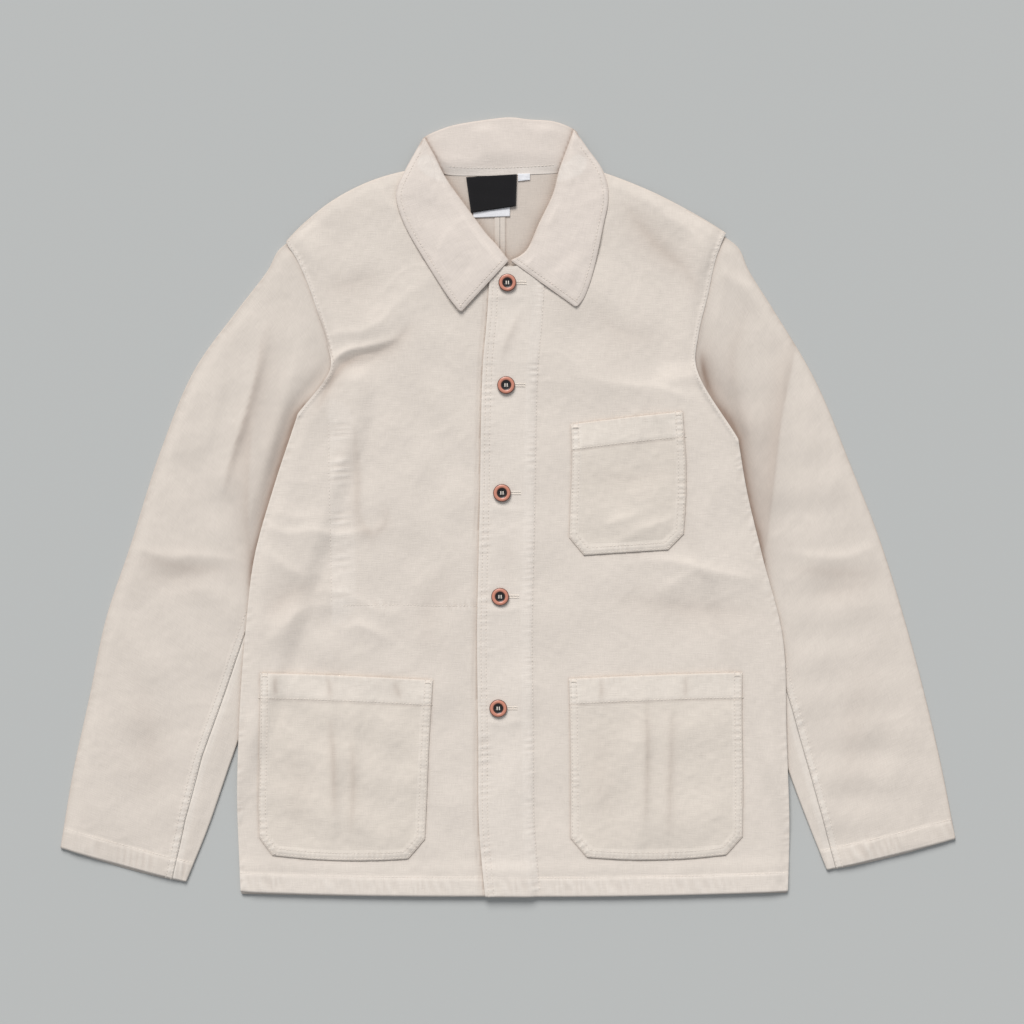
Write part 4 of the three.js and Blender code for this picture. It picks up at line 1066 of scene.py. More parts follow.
    def build(self, material: bpy.types.Material) -> list[bpy.types.Object]:
        """Makes the two pieces."""
        sections = self.panel.sections(2.3)
        around = [-90, -68, -45, -22, 0, 22, 45, 68, 90]
        outer, inner = Turn.OUTER, Turn.INNER
        close = [9.6, 8.7, 7.8, 6.6, 5.4, 4.2, 3.0, 1.5, 0.15]
        top = [Station(outer, d, under=True) for d in (BACK_SEAM_FROM_EDGE, 24, 18, 12, 7, 3.5)]
        top += [Station(outer, angle=math.radians(a)) for a in around]
        top += [Station(outer, d) for d in (2.4, 3.4, 4.6, 6.0, 7.8, 10.0)]
        top += [Station(outer, share=k / 44) for k in range(45)]
        top += [Station(outer, -d) for d in close]
        under = [Station(inner, share=k / 11) for k in range(11)]
        under += [Station(inner, angle=math.radians(a)) for a in around[::-1]]
        under += [Station(inner, 3.0 + 3.6 * k, under=True) for k in range(6)]
        spans = self.panel.width(sections).min() - BACK_SEAM_FROM_EDGE - SEAM_GAP
        under += [Station(inner, d, under=True) for d in np.linspace(26, spans, 13)]
        made = []
        for name, stations, fell in (("top_sleeve", top, True), ("under_sleeve", under, False)):
            if len(stations) % 2 == 0:
                stations.insert(1, Station(stations[0].edge, 27, under=True) if fell else Station(inner, share=0.5 / 11))
            right, wrong, weave = self.shape(sections, stations, fell)
            xy = right[..., :2]
            cuff = np.exp(-self.cuff.away(xy, 12) / 2.2)
            stitched = self.stitched(xy)
            seam = smooth((FELL_WIDTH - self.seam.away(xy, 20)) / 3)
            wear_and_highlight = np.clip(0.4 * cuff + 0.45 * seam + 0.25 * stitched, 0, 1) * (right[..., 2] > SLEEVE_HEIGHT / 2)
            out = np.maximum(self.outside(xy), 0)
            # painted shade on the sleeve beside the body's edge, strongest below the underarm, with a thin line all
            # along it
            deep = smooth((xy[..., 1] + 90) / 80) * smooth((SLEEVE_SHADE_TOP - xy[..., 1]) / 34)
            beside = deep * (0.68 * np.exp(-out / 5) + 0.24 * np.exp(-out / 12)) + 0.3 * np.exp(-out / 1.8)
            # painted shade along the outer edge
            rim = 0.3 * np.exp(-self.outer.away(xy, 12) / 1.6)
            # painted shade along the stitching, in the troughs and along the strokes
            painted_shade = np.clip(0.08 * stitched + beside + rim + hollows_at(self.folds, self.strokes, xy), 0, 1)
            upper = right[..., 2] > SLEEVE_HEIGHT / 2
            # painted highlights on the ripples' ridges, painted shade in their hollows
            wear_and_highlight, painted_shade = paint_ripple_light(self.ripples(xy) * upper * smooth(self.outside(xy) / 10), wear_and_highlight, painted_shade * upper)
            piece = f"{name}_{self.side}"
            cloth = ClothMesh(f"{piece}_cloth", "sleeve_cotton", material)
            cloth.wall(right, wrong, weave, wear_and_highlight, painted_shade)
            done = cloth.build()
            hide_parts(piece)
            width, length = float(weave[..., 0].max()), float(weave[..., 1].max())
            strips = weave[:, -1, 0]
            area = float(np.trapz(strips, weave[:, 0, 1])) * MM**2
            area = min(area, width * length * MM**2)
            made.append(done)
        return made


class PatchPocket:
    """A patch pocket with a turned band at its opening and cut corners at the bottom."""

    def __init__(
        self,
        name: str,
        rows: Sequence[Row],
        folds: Sequence[Fold],
        strokes: Sequence[Fold],
        relief: FrontRelief,
        seed: int,
    ) -> None:
        """Takes the sections from the bottom up, the folds, the strokes of painted shade and the front below."""
        self.name, self.panel, self.folds, self.strokes = name, Panel(rows), folds, strokes
        self.relief = relief
        cut = self.panel.corners(Turn.BOTH)[0]
        left = self.panel.inner.at(np.arange(self.panel.last + 1.0))
        right = self.panel.outer.at(np.arange(self.panel.last + 1.0))
        bottom = self.panel.section(0).points
        self.sides = Path(np.vstack([left[cut:][::-1], bottom, right[cut:]]))
        self.opening = self.panel.section(self.panel.last)
        self.drift, self.ripple, self.crumple = Waves(seed, 30, 90), Waves(seed + 1, 8, 18), Crumple(seed + 2, 30)
        self.lines = [self.inset(2.0), self.inset(7.5)]
        self.band_line = self.opening.moved(-(POCKET_BAND - 1.0))
        self.puckers = [
            Puckers(self.sides, 0.24, 5.6, 4.0, 4.5, 0.0, seed + 3),
            Puckers(self.opening, 0.14, 8.0, 5.0, -3.0, 0.2, seed + 4),
        ]

    def inset(self, distance: float) -> Path:
        """The pocket's sides and bottom, moved inwards by ``distance``."""
        corners = self.sides.points
        u = np.diff(corners, axis=0)
        u /= np.linalg.norm(u, axis=1)[:, None]
        normals = np.stack([-u[:, 1], u[:, 0]], axis=1)
        before = np.vstack([normals[:1], normals])
        after = np.vstack([normals, normals[-1:]])
        mitre = before + after
        mitre *= (2 / (mitre**2).sum(1))[:, None]
        return Path(corners + distance * mitre)

    def ripples(self, xy: Array) -> Array:
        """Height of the ripples along the seams."""
        return sum(puckers.at(xy) for puckers in self.puckers)

    def own(self, xy: Array) -> Array:
        """Height of the pocket's right side over the front."""
        side, top = self.sides.away(xy, 40), self.opening.away(xy, 60)
        puff = 0.9 * smooth((side - 6) / 26) * (0.55 + 0.45 * smooth((60 - top) / 40))
        band = 0.5 * smooth((POCKET_BAND - top) / 1.4 + 0.5)
        turned = 0.45 * (1 - smooth((side - 8.5) / 1.5))
        soft = folds_at(self.folds, xy, False) + 0.2 * self.drift.at(xy) + 0.22 * self.crumple.at(xy)
        height = CLOTH + SEAM_GAP + puff + np.maximum(band, turned) + soft * smooth((side - 5) / 12)
        height += self.ripples(xy) + 0.04 * self.ripple.at(xy)
        height -= STITCH_DEPTH * 1.2 * self.stitched(xy)
        height -= 0.45 * (1 - smooth(side / 7))
        return height - rounding(side, 1.0) * 0.5 - rounding(top, 0.5) * 0.3

    def stitched(self, xy: Array) -> Array:
        """How near each point is to a line of stitching, from 0 to 1."""
        return np.maximum.reduce([groove(line, xy) for line in (*self.lines, self.band_line)])

    def top(self, xy: Array) -> Array:
        """Height of the right side above the floor."""
        return self.relief.top(xy) + self.own(xy)

    def build(self, material: bpy.types.Material) -> bpy.types.Object:
        """Makes the pocket's cloth."""
        marks = seam_marks(2.0, 7.5, end=12, step=1.8)
        xy = self.panel.grid(self.panel.sections(1.7), marks, marks[::-1], 1.9)
        base = self.relief.top(xy)
        own = self.own(xy)
        right = np.dstack([xy, base + own])
        wrong = np.dstack([xy, base + np.minimum(0.2, own - 0.6)])
        side, top = self.sides.away(xy, 40), self.opening.away(xy, 60)
        edge = np.exp(-np.minimum(side, top) / 2.0)
        band = smooth((POCKET_BAND - top) / 2 + 0.5)
        margin = 1 - smooth((side - 8.5) / 3)
        wear_and_highlight = np.clip(0.1 * edge + 0.5 * band + 0.35 * margin + 0.25 * self.stitched(xy), 0, 1)
        # painted shade: a line below the band's edge, a thin shadow along the sides and bottom, and along the opening
        line = np.exp(-(((top - POCKET_BAND - 0.4) / 1.0) ** 2))
        rim = np.exp(-((side / 0.8) ** 2)) * smooth(top / 3)
        painted_shade = 0.1 * self.stitched(xy) + 0.2 * line + 0.3 * rim + 0.3 * np.exp(-top / 0.8)
        # painted shade in troughs and along strokes, painted highlights and shade on the ripples
        wear_and_highlight, painted_shade = paint_ripple_light(self.ripples(xy), wear_and_highlight, painted_shade + hollows_at(self.folds, self.strokes, xy))
        cloth = ClothMesh(f"{self.name}_cloth", "pocket_cotton", material)
        cloth.wall(right, wrong, xy, wear_and_highlight, painted_shade)
        made = cloth.build()
        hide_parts(self.name)
        width = float(self.panel.width(np.arange(self.panel.last + 1.0)).max())
        length = self.panel.rows[-1].inner_y - self.panel.rows[0].inner_y
        min(self.panel.area(), width * length * MM**2)
        return made


@dataclass(frozen=True)
class WingRow:
    """One section of a collar point: roll line, free edge and neckline seam, with two heights."""

    roll_x: float
    roll_y: float
    free_x: float
    free_y: float
    seam_x: float
    seam_y: float
    base: float
    end: float


@dataclass(frozen=True)
class BandRow:
    """One section of the collar behind the neck: its roll line and the neckline seam."""

    roll_x: float
    roll_y: float
    seam_x: float
    seam_y: float


class Collar:
    """A turn-down collar: two points folded over the fronts, and the stand behind the neck."""

    def __init__(
        self,
        wings: Sequence[Sequence[WingRow]],
        band: Sequence[BandRow],
        fronts: Sequence[FrontRelief],
        folds: Sequence[Fold],
    ) -> None:
        """Takes the sections of the points and of the band, the fronts below, and the folds of the points."""
        self.wings, self.band, self.fronts, self.folds = wings, band, fronts, folds
        self.drift, self.ripple, self.crumple = Waves(61, 30, 90), Waves(62, 8, 18), Crumple(63, 34)
        self.upper: list[Array] = []
        self.free = [Path([(r.free_x, r.free_y) for r in rows], curved=True) for rows in wings]
        self.ends = [Path([(rows[0].roll_x, rows[0].roll_y), (rows[0].free_x, rows[0].free_y)]) for rows in wings]
        self.rolls = [Path([(r.roll_x, r.roll_y) for r in rows], curved=True) for rows in (*wings, band)]
        self.puckers = [
            Puckers(line, 0.12, 7.0, 4.0, seed=64 + k) for k, line in enumerate([*self.free, *self.ends])
        ]

    def under(self, xy: Array) -> Array:
        """Height of the fronts' cloth below the points of the collar."""
        return np.maximum.reduce([front.floor(xy) + CLOTH + front.bands(xy) for front in self.fronts])

    def fold(
        self, rows: Array, upper: Array, lower: Array, base: Array, heights: Height, low: Array, thin: float
    ) -> tuple[Array, Array, Array]:
        """Two layers of collar cloth joined by a rounded fold at the roll line.

        Args:
            rows: Points of the roll line, one for each section.
            upper: Ends of the upper layer.
            lower: Ends of the lower layer.
            base: Height of the fold's underside at each section.
            heights: Height of the upper layer's wrong side, from its points and fractions.
            low: Height of the lower layer's right side at each section.
            thin: How much thinner the upper layer is at its end.

        Returns:
            The right side, the wrong side, and the place of each point on the flat cloth.
        """
        radius = COLLAR_FOLD_HEIGHT / 2
        out = upper - rows
        out /= np.linalg.norm(out, axis=1)[:, None]
        centre = rows + out * radius
        count = max(12, int(np.linalg.norm(upper - centre, axis=1).max() / 1.8))
        count += count % 2
        t = np.concatenate([[0.0, 0.4, 1.0], np.arange(2.2, count) / 1.0, [count]]) / count
        t = 1 - t
        flat = centre[:, None] + (upper - centre)[:, None] * t[:, None]
        high = heights(flat, np.broadcast_to(t, flat.shape[:-1]))
        right = [np.dstack([flat, high + COLLAR_CLOTH - thin * smooth((t - 0.86) / 0.14)])]
        wrong = [np.dstack([flat, high])]
        turns = np.radians([68, 45, 22, 0, -22, -45, -68, -90])
        for kept, r in ((right, radius), (wrong, radius - COLLAR_CLOTH)):
            nose = centre[:, None] - out[:, None] * r * np.cos(turns)[:, None]
            z = base[:, None] + radius + r * np.sin(turns) * np.ones_like(base)[:, None]
            kept.append(np.dstack([nose, z]))
        s = np.linspace(0, 1, 10)[1:]
        flat = centre[:, None] + (lower - centre)[:, None] * s[:, None]
        floor = mix(base[:, None], low[:, None], smooth(s))
        right.append(np.dstack([flat, floor]))
        wrong.append(np.dstack([flat, floor + COLLAR_CLOTH]))
        right, wrong = np.hstack(right), np.hstack(wrong)
        if right.shape[1] % 2 == 0:
            right, wrong = np.hstack([right, right[:, -1:] + (0, 0.02, 0)]), np.hstack([wrong, wrong[:, -1:]])
        girth = np.zeros(right.shape[:2])
        girth[:, 1:] = np.cumsum(np.linalg.norm(np.diff(right, axis=1), axis=2), axis=1)
        along = np.concatenate([[0.0], np.cumsum(np.linalg.norm(np.diff(rows, axis=0), axis=1))])
        return right, wrong, np.dstack([girth, np.broadcast_to(along[:, None], girth.shape)])

    def table(self, rows: Sequence, step: float) -> dict[str, Array]:
        """Smooth columns of a table, with sections about ``step`` apart and an odd count of them."""
        names = list(rows[0].__dataclass_fields__)
        points = np.array([[getattr(r, n) for n in names] for r in rows], float)
        length = max(np.linalg.norm(np.diff(points[:, k : k + 2], axis=0), axis=1).sum() for k in (0, 2))
        count = max(4, 2 * round(length / step / 2))
        at = np.linspace(0, len(rows) - 1, count + 1)
        at = np.concatenate([[0.0], at[1] * np.array([0.2, 0.5]), at[1:]])
        fine = np.stack([natural(points[:, k], at) for k in range(points.shape[1])], axis=1)
        return {n: fine[:, k] for k, n in enumerate(names)}

    def wing(self, rows: Sequence[WingRow]) -> tuple[Array, Array, Array]:
        """One point of the collar, folded over its front."""
        c = self.table(rows, 1.9)
        roll, free, seam = (np.stack([c[f"{n}_x"], c[f"{n}_y"]], axis=1) for n in ("roll", "free", "seam"))
        from_tip = np.linalg.norm(free - free[0], axis=1)
        cut = TIP_RADIUS * (1 - np.sqrt(1 - 0.99 * (1 - np.clip(from_tip / TIP_RADIUS, 0, 1)) ** 2))
        out = (free - roll) / np.linalg.norm(free - roll, axis=1)[:, None]
        free = free - out * cut[:, None]

        def heights(xy: Array, t: Array) -> Array:
            """Height of the fall's wrong side."""
            start = (c["base"] + COLLAR_CLOTH + COLLAR_CLEAR)[:, None]
            plain = mix(start, c["end"][:, None], smooth(t))
            crown = 1.3 * np.sin(math.pi * np.clip(t, 0, 1)) ** 1.2
            cover = np.where(t > 0.12, self.under(xy) + 0.08, 0.0)
            height = np.maximum(plain, cover)
            for _ in range(6):
                height[:, 1:-1] = (height[:, :-2] + 2 * height[:, 1:-1] + height[:, 2:]) / 4
                height[1:-1] = (height[:-2] + 2 * height[1:-1] + height[2:]) / 4
            soft = folds_at(self.folds, xy, False) + 0.26 * self.drift.at(xy) + 0.15 * self.crumple.at(xy)
            calm = smooth(t / 0.25)
            return np.maximum(height, cover) + calm * (soft + 0.3) + crown * 0.5

        right, wrong, weave = self.fold(roll, free, seam, c["base"], heights, c["base"], 0.0)
        xy = right[..., :2]
        over = right[..., 2] > c["base"][:, None] + COLLAR_FOLD_HEIGHT / 2
        edge = np.minimum.reduce([line.away(xy, 12) for line in (*self.free, *self.ends)])
        ripples = sum(puckers.at(xy) for puckers in self.puckers) + 0.05 * self.ripple.at(xy)
        stitched = np.exp(-(((edge - 5) / 1.1) ** 2))
        thin = 0.6 * (1 - smooth(edge / 7)) + rounding(edge, 0.7) * 0.5
        shift = ripples * smooth(edge / 2) - 0.35 * STITCH_DEPTH * stitched - thin
        right[..., 2] += np.where(over, shift, 0.0)
        self.upper.append(right[over])
        return right, wrong, weave

    def top(self, xy: Array) -> Array:
        """Height of the collar's upper side at points on it, from the nearest points of its mesh."""
        known = np.vstack(self.upper)
        gaps = np.linalg.norm(known[None, :, :2] - xy[:, None], axis=2)
        near = np.argsort(gaps, axis=1)[:, :4]
        return known[near, 2].mean(axis=1)

    def stitch_lines(self) -> list[Array]:
        """Points of the stitching beside the collar's free edges and above the neck seam."""
        lines = []
        for free, end, side in zip(self.free, self.ends, (1.0, -1.0)):
            edge = Path(np.vstack([end.points[:1], free.points]))
            line = edge.moved(-5.0 * side, 6.0)
            lines.append(on_surface(line, self.top, 0.12))
        neck = Path([(r.seam_x, r.seam_y) for r in self.band[2:-2]], curved=True).moved(8.0, 3.0)
        lines.append(on_surface(neck, self.top, 0.12))
        return lines

    def stand(self) -> tuple[Array, Array, Array]:
        """The collar behind the neck: the stand faces up and the fall is folded under it."""
        c = self.table(self.band, 2.0)
        roll, seam = (np.stack([c[f"{n}_x"], c[f"{n}_y"]], axis=1) for n in ("roll", "seam"))
        length = np.linalg.norm(seam - roll, axis=1)
        depth = np.minimum(COLLAR_FALL_BEHIND, length - 4)
        free = roll + (seam - roll) / length[:, None] * depth[:, None]
        zero = np.zeros(len(roll))

        def heights(xy: Array, t: Array) -> Array:
            """Height of the stand's wrong side."""
            step = smooth((t * length[:, None] - depth[:, None] - 6) / 22)
            soft = 0.3 * self.drift.at(xy) + 0.15 * self.crumple.at(xy) + folds_at(self.folds, xy, True)
            settle = smooth(t / 0.2) * smooth((1 - t) / 0.2)
            return (COLLAR_CLOTH + COLLAR_CLEAR) * (1 - step) + (0.35 + np.maximum(soft, -0.3)) * settle

        right, wrong, weave = self.fold(roll, seam, free, zero, heights, zero, 0.4)
        self.upper.append(right[right[..., 2] > COLLAR_CLOTH])
        return right, wrong, weave

    def build(self, material: bpy.types.Material) -> bpy.types.Object:
        """Makes the collar's cloth."""
        cloth = ClothMesh("collar_cloth", "collar_cotton", material)
        seam = Path([(r.seam_x, r.seam_y) for r in self.band], curved=True)
        shapes = (self.stand(), *(self.wing(rows) for rows in self.wings))
        for stand, (right, wrong, weave) in zip((True, False, False), shapes):
            xy = right[..., :2]
            edge = np.minimum.reduce([line.away(xy, 12) for line in (*self.free, *self.ends)])
            neck = seam.away(xy, 12)
            wear_and_highlight = np.clip(0.15 * np.exp(-edge / 2.5) + 0.5 * (1 - smooth((neck - 7) / 3)), 0, 1)
            roll = np.minimum.reduce([line.away(xy, 12) for line in self.rolls])
            # painted shade along the stitching, a thin shadow at the free edges and ends, and along the roll edges
            painted_shade = 0.05 * np.exp(-(((edge - 5) / 1.2) ** 2)) + 0.25 * np.exp(-edge / 0.8) + 0.35 * np.exp(-roll / 1.2)
            # painted shadow of the points' roll edges on the stand
            if stand:
                painted_shade += 0.45 * np.exp(-np.minimum.reduce([line.away(xy, 20) for line in self.rolls[:2]]) / 4)
            cloth.wall(right, wrong, weave, wear_and_highlight, painted_shade)
        made = cloth.build()
        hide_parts("collar")
        return made


def natural(values: Array, at: Array) -> Array:
    """Smooth curve through evenly numbered values."""
    padded = np.concatenate([[2 * values[0] - values[1]], values, [2 * values[-1] - values[-2]]])
    k = np.clip(np.floor(at).astype(int), 0, len(values) - 2)
    t = at - k
    p0, p1, p2, p3 = (padded[k + i] for i in range(4))
    slope0, slope1 = (p2 - p0) / 2, (p3 - p1) / 2
    bend = 3 * (p2 - p1) - 2 * slope0 - slope1
    return p1 + slope0 * t + bend * t**2 + (2 * (p1 - p2) + slope0 + slope1) * t**3


BUTTON_PROFILE = (
    (0.0, 0.0),
    (6.3, 0.0),
    (7.9, 0.35),
    (8.6, 0.9),
    (8.9, 1.6),
    (8.85, 2.2),
    (8.5, 2.8),
    (7.9, 3.2),
    (7.1, 3.4),
    (6.2, 3.38),
    (5.6, 3.2),
    (5.15, 2.85),
    (4.8, 2.5),
    (4.2, 2.32),
    (3.2, 2.22),
    (1.6, 2.2),
    (0.0, 2.2),
)


@dataclass(frozen=True)
class Button:
    """A two-hole button with a rounded rim and a dark dished middle, sewn on with pale thread."""

    x: float
    y: float
    sides: int = 48
    hole: float = 1.0
    spacing: float = 1.9

    def mesh(self, name: str, floor: float) -> bpy.types.Mesh:
        """The turned shape with its two holes, standing on ``floor``."""
        profile = np.array(BUTTON_PROFILE)
        angles = np.arange(self.sides) / self.sides * math.tau
        points = [(0.0, 0.0, profile[0, 1])]
        for radius, z in profile[1:-1]:
            points += [(radius * math.cos(a), radius * math.sin(a), z) for a in angles]
        points.append((0.0, 0.0, profile[-1, 1]))
        rings = len(profile) - 2
        faces = [[0, 1 + (k + 1) % self.sides, 1 + k] for k in range(self.sides)]
        for r in range(rings - 1):
            a = 1 + r * self.sides
            for k in range(self.sides):
                n = (k + 1) % self.sides
                faces.append([a + k, a + n, a + self.sides + n, a + self.sides + k])
        a = 1 + (rings - 1) * self.sides
        faces += [[a + k, a + (k + 1) % self.sides, len(points) - 1] for k in range(self.sides)]
        disc = bpy.data.meshes.new(name)
        disc.from_pydata(points, [], faces)
        body = bpy.data.objects.new(name, disc)
        bpy.context.scene.collection.objects.link(body)
        cutters = []
        for side in (-1, 1):
            bpy.ops.mesh.primitive_cylinder_add(
                vertices=20, radius=self.hole, depth=12, location=(side * self.spacing, 0, 0)
            )
            cutter = bpy.context.active_object
            cutters.append(cutter)
            cut = body.modifiers.new("hole", "BOOLEAN")
            cut.object, cut.operation, cut.solver = cutter, "DIFFERENCE", "EXACT"
        bpy.context.view_layer.update()
        done = bpy.data.meshes.new_from_object(body.evaluated_get(bpy.context.evaluated_depsgraph_get()))
        for thing in (body, *cutters):
            bpy.data.objects.remove(thing)
        done.name = name
        co = np.empty(len(done.vertices) * 3, np.float32)
        done.vertices.foreach_get("co", co)
        co = co.reshape(-1, 3)
        ring = np.hypot(co[:, 0], co[:, 1]) / BUTTON_PROFILE[4][0]
        attribute = done.attributes.new("ring", "FLOAT", "POINT")
        attribute.data.foreach_set("value", ring.astype(np.float32))
        placed = (co + (self.x, self.y, floor)) * MM
        done.vertices.foreach_set("co", placed.astype(np.float32).ravel())
        done.update()
        return done

    def build(self, name: str, floor: float, material: bpy.types.Material) -> bpy.types.Object:
        """Makes the button in the place of its solid."""
        made = dress(f"{name}_turned", self.mesh(f"{name}_turned", floor), material)
        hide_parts(name)
        return made


@dataclass(frozen=True)
class Label:
    """A woven label inside the neck, left blank."""

    node: str
    slot: str
    corners: tuple[tuple[float, float], ...]
    floor: float
    thickness: float
    curl: float = 0.0
    folded: bool = False

    def layers(self) -> tuple[Array, Array]:
        """Share of the way down the label and height, of its right and its wrong side, along the strip."""
        length = math.dist(self.corners[0], self.corners[1])
        s = np.linspace(0, 1, 25)
        if not self.folded:
            wrong = np.stack([s, np.full(25, self.floor)], axis=1)
            return wrong + (0, self.thickness), wrong
        sides = []
        radius = self.thickness * 1.5
        turns = np.linspace(math.pi / 2, -math.pi / 2, 9)
        for r in (radius, radius - self.thickness):
            straight = np.linspace(0, 1 - radius / length, 9)
            nose = straight[-1] + r / length * np.cos(turns)
            down = np.concatenate([straight[:-1], nose, straight[-2::-1]])
            up = radius + np.concatenate([np.full(8, r), r * np.sin(turns), np.full(8, -r)])
            sides.append(np.stack([down, up + self.floor], axis=1))
        return sides[0], sides[1]

    def build(self, material: bpy.types.Material) -> bpy.types.Object:
        """Makes the label's cloth. The corners run from the top left, anticlockwise."""
        a, b, c, d = (np.array(p, float) for p in self.corners)
        u = np.linspace(0, 1, 25)[:, None, None]
        sides = []
        for strip in self.layers():
            v = strip[None, :, :1]
            xy = (a * (1 - v) + b * v) * (1 - u) + (d * (1 - v) + c * v) * u
            share = np.broadcast_to(strip[:, 0], xy.shape[:-1])
            ripple = 0.08 * np.sin(u[..., 0] * 9 + share * 4) + 0.06 * np.sin(share * 13 - u[..., 0] * 5)
            z = strip[:, 1] + self.curl * share**2 + ripple * smooth(share / 0.2)
            sides.append(np.dstack([xy, z]))
        right, wrong = sides
        along = np.concatenate([[0.0], np.cumsum(np.linalg.norm(np.diff(right[12], axis=0), axis=1))])
        width, length = float(np.linalg.norm(d - a)), float(along[-1])
        weave = np.dstack(np.meshgrid(along, u.ravel() * width))
        cloth = ClothMesh(f"{self.node}_cloth", self.slot, material)
        edge = np.minimum(u[..., 0], 1 - u[..., 0]) * np.ones_like(weave[..., 0])
        cloth.wall(right, wrong, weave, 0.25 * np.exp(-edge / 0.02), np.zeros_like(edge))
        made = cloth.build()
        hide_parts(self.node)
        return made


class Sewing:
    """Stitches and thread: Geometry Nodes trees that lay thread along lines on the cloth."""

    def __init__(self, material: bpy.types.Material) -> None:
        """Builds the two trees for one thread."""
        self.material = material
        self.stitches = self.stitch_tree()
        self.threads = self.thread_tree()

    def new_tree(self, name: str, sizes: dict[str, float]) -> tuple[bpy.types.NodeTree, NodeBench, bpy.types.Node]:
        """An empty tree with a geometry in and out, and named sizes."""
        tree = bpy.data.node_groups.new(name, "GeometryNodeTree")
        tree.interface.new_socket("Geometry", in_out="INPUT", socket_type="NodeSocketGeometry")
        tree.interface.new_socket("Geometry", in_out="OUTPUT", socket_type="NodeSocketGeometry")
        for size, value in sizes.items():
            socket = tree.interface.new_socket(size, in_out="INPUT", socket_type="NodeSocketFloat")
            socket.default_value = value
        bench = NodeBench(tree)
        return tree, bench, bench.add("NodeGroupInput")

    def close_tree(self, bench: NodeBench, made: bpy.types.NodeSocket) -> None:
        """Ends a tree with Realize Instances and Set Material."""
        real = bench.add("GeometryNodeRealizeInstances", {0: made}).outputs[0]
        painted = bench.add("GeometryNodeSetMaterial", {0: real, "Material": self.material}).outputs[0]
        bench.add("NodeGroupOutput", {0: painted})

    def stitch_tree(self) -> bpy.types.NodeTree:
        """Separate stitches along curves, a little uneven."""
        sizes = {"Stitch Length": 0.0027, "Gap": 0.0008, "Thread": 0.0006}
        tree, bench, given = self.new_tree("lockstitch", sizes)
        pitch = bench.math("ADD", given.outputs["Stitch Length"], given.outputs["Gap"])
        points = bench.add("GeometryNodeCurveToPoints", {0: given.outputs["Geometry"], "Length": pitch}, mode="LENGTH")
        grain = bench.add("GeometryNodeMeshIcoSphere", {"Radius": 0.5, "Subdivisions": 1}).outputs[0]
        size = bench.add(
            "ShaderNodeCombineXYZ",
            {0: given.outputs["Thread"], 1: given.outputs["Thread"], 2: given.outputs["Stitch Length"]},
        ).outputs[0]
        tilt = bench.add("FunctionNodeRandomValue", {0: (-0.1, -0.1, -0.1), 1: (0.1, 0.1, 0.1)}, data_type="FLOAT_VECTOR")
        tilt.inputs["Seed"].default_value = 4
        turned = bench.add("FunctionNodeRotateRotation", {0: points.outputs["Rotation"], 1: tilt.outputs[0]})
        laid = bench.add(
            "GeometryNodeInstanceOnPoints",
            {"Points": points.outputs[0], "Instance": grain, "Rotation": turned.outputs[0], "Scale": size},
        )
        self.close_tree(bench, laid.outputs[0])
        return tree

    def thread_tree(self) -> bpy.types.NodeTree:
        """A round thread along curves."""
        tree, bench, given = self.new_tree("thread", {"Thread": 0.0006})
        radius = bench.math("MULTIPLY", given.outputs["Thread"], 0.5)
        section = bench.add("GeometryNodeCurvePrimitiveCircle", {"Resolution": 5, "Radius": radius}).outputs[0]
        swept = bench.add(
            "GeometryNodeCurveToMesh",
            {"Curve": given.outputs["Geometry"], "Profile Curve": section, "Fill Caps": True},
        )
        self.close_tree(bench, swept.outputs[0])
        return tree

    def lay(self, name: str, lines: Sequence[Array], tree: bpy.types.NodeTree, slot: str, **sizes: float) -> None:
        """Lays thread along lines and makes a plain mesh of it.

        Args:
            name: Name of the new piece.
            lines: Points of each line, in millimetres.
            tree: The stitches' or the thread's tree.
            slot: Not used.
            sizes: Values of the tree's inputs, by name with underscores, in millimetres.
        """
        curve = bpy.data.curves.new(name, "CURVE")
        curve.dimensions = "3D"
        for points in lines:
            line = curve.splines.new("POLY")
            line.points.add(len(points) - 1)
            placed = np.hstack([points * MM, np.ones((len(points), 1))])
            line.points.foreach_set("co", placed.astype(np.float32).ravel())
        holder = bpy.data.objects.new(name, curve)
        bpy.context.scene.collection.objects.link(holder)
        modifier = holder.modifiers.new("sewing", "NODES")
        modifier.node_group = tree
        sockets = {s.name: s.identifier for s in tree.interface.items_tree if getattr(s, "in_out", "") == "INPUT"}
        for size, value in sizes.items():
            modifier[sockets[size.replace("_", " ")]] = value * MM
        bpy.context.view_layer.update()
        mesh = bpy.data.meshes.new_from_object(holder.evaluated_get(bpy.context.evaluated_depsgraph_get()))
        holder.modifiers.clear()
        bpy.data.objects.remove(holder)
        dress(name, mesh, self.material)


def on_surface(path: Path, height: Height, lift: float = 0.1, step: float = 1.5) -> Array:
    """Points along a line, just above the cloth.

    Args:
        path: The line.
        height: Height of the cloth at points of the plane.
        lift: How far above it.
        step: Distance between the points.

    Returns:
        The points in space.
    """
    xy = path.at(np.linspace(0, path.length, max(3, int(path.length / step))))
    return np.column_stack([xy, height(xy) + lift])


def zigzag(start: tuple[float, float], stop: tuple[float, float], width: float, pitch: float) -> Path:
    """A close zigzag between two points."""
    a, b = np.array(start, float), np.array(stop, float)
    span = float(np.linalg.norm(b - a))
    u = (b - a) / span
    count = max(4, int(span / pitch * 2))
    t = np.linspace(0, 1, count + 1)[:, None]
    swing = np.where(np.arange(count + 1) % 2 == 0, 0.5, -0.5)[:, None] * width
    return Path(a + (b - a) * t + swing * np.array([-u[1], u[0]]))


OUT, IN, BOTH = Turn.OUTER, Turn.INNER, Turn.BOTH

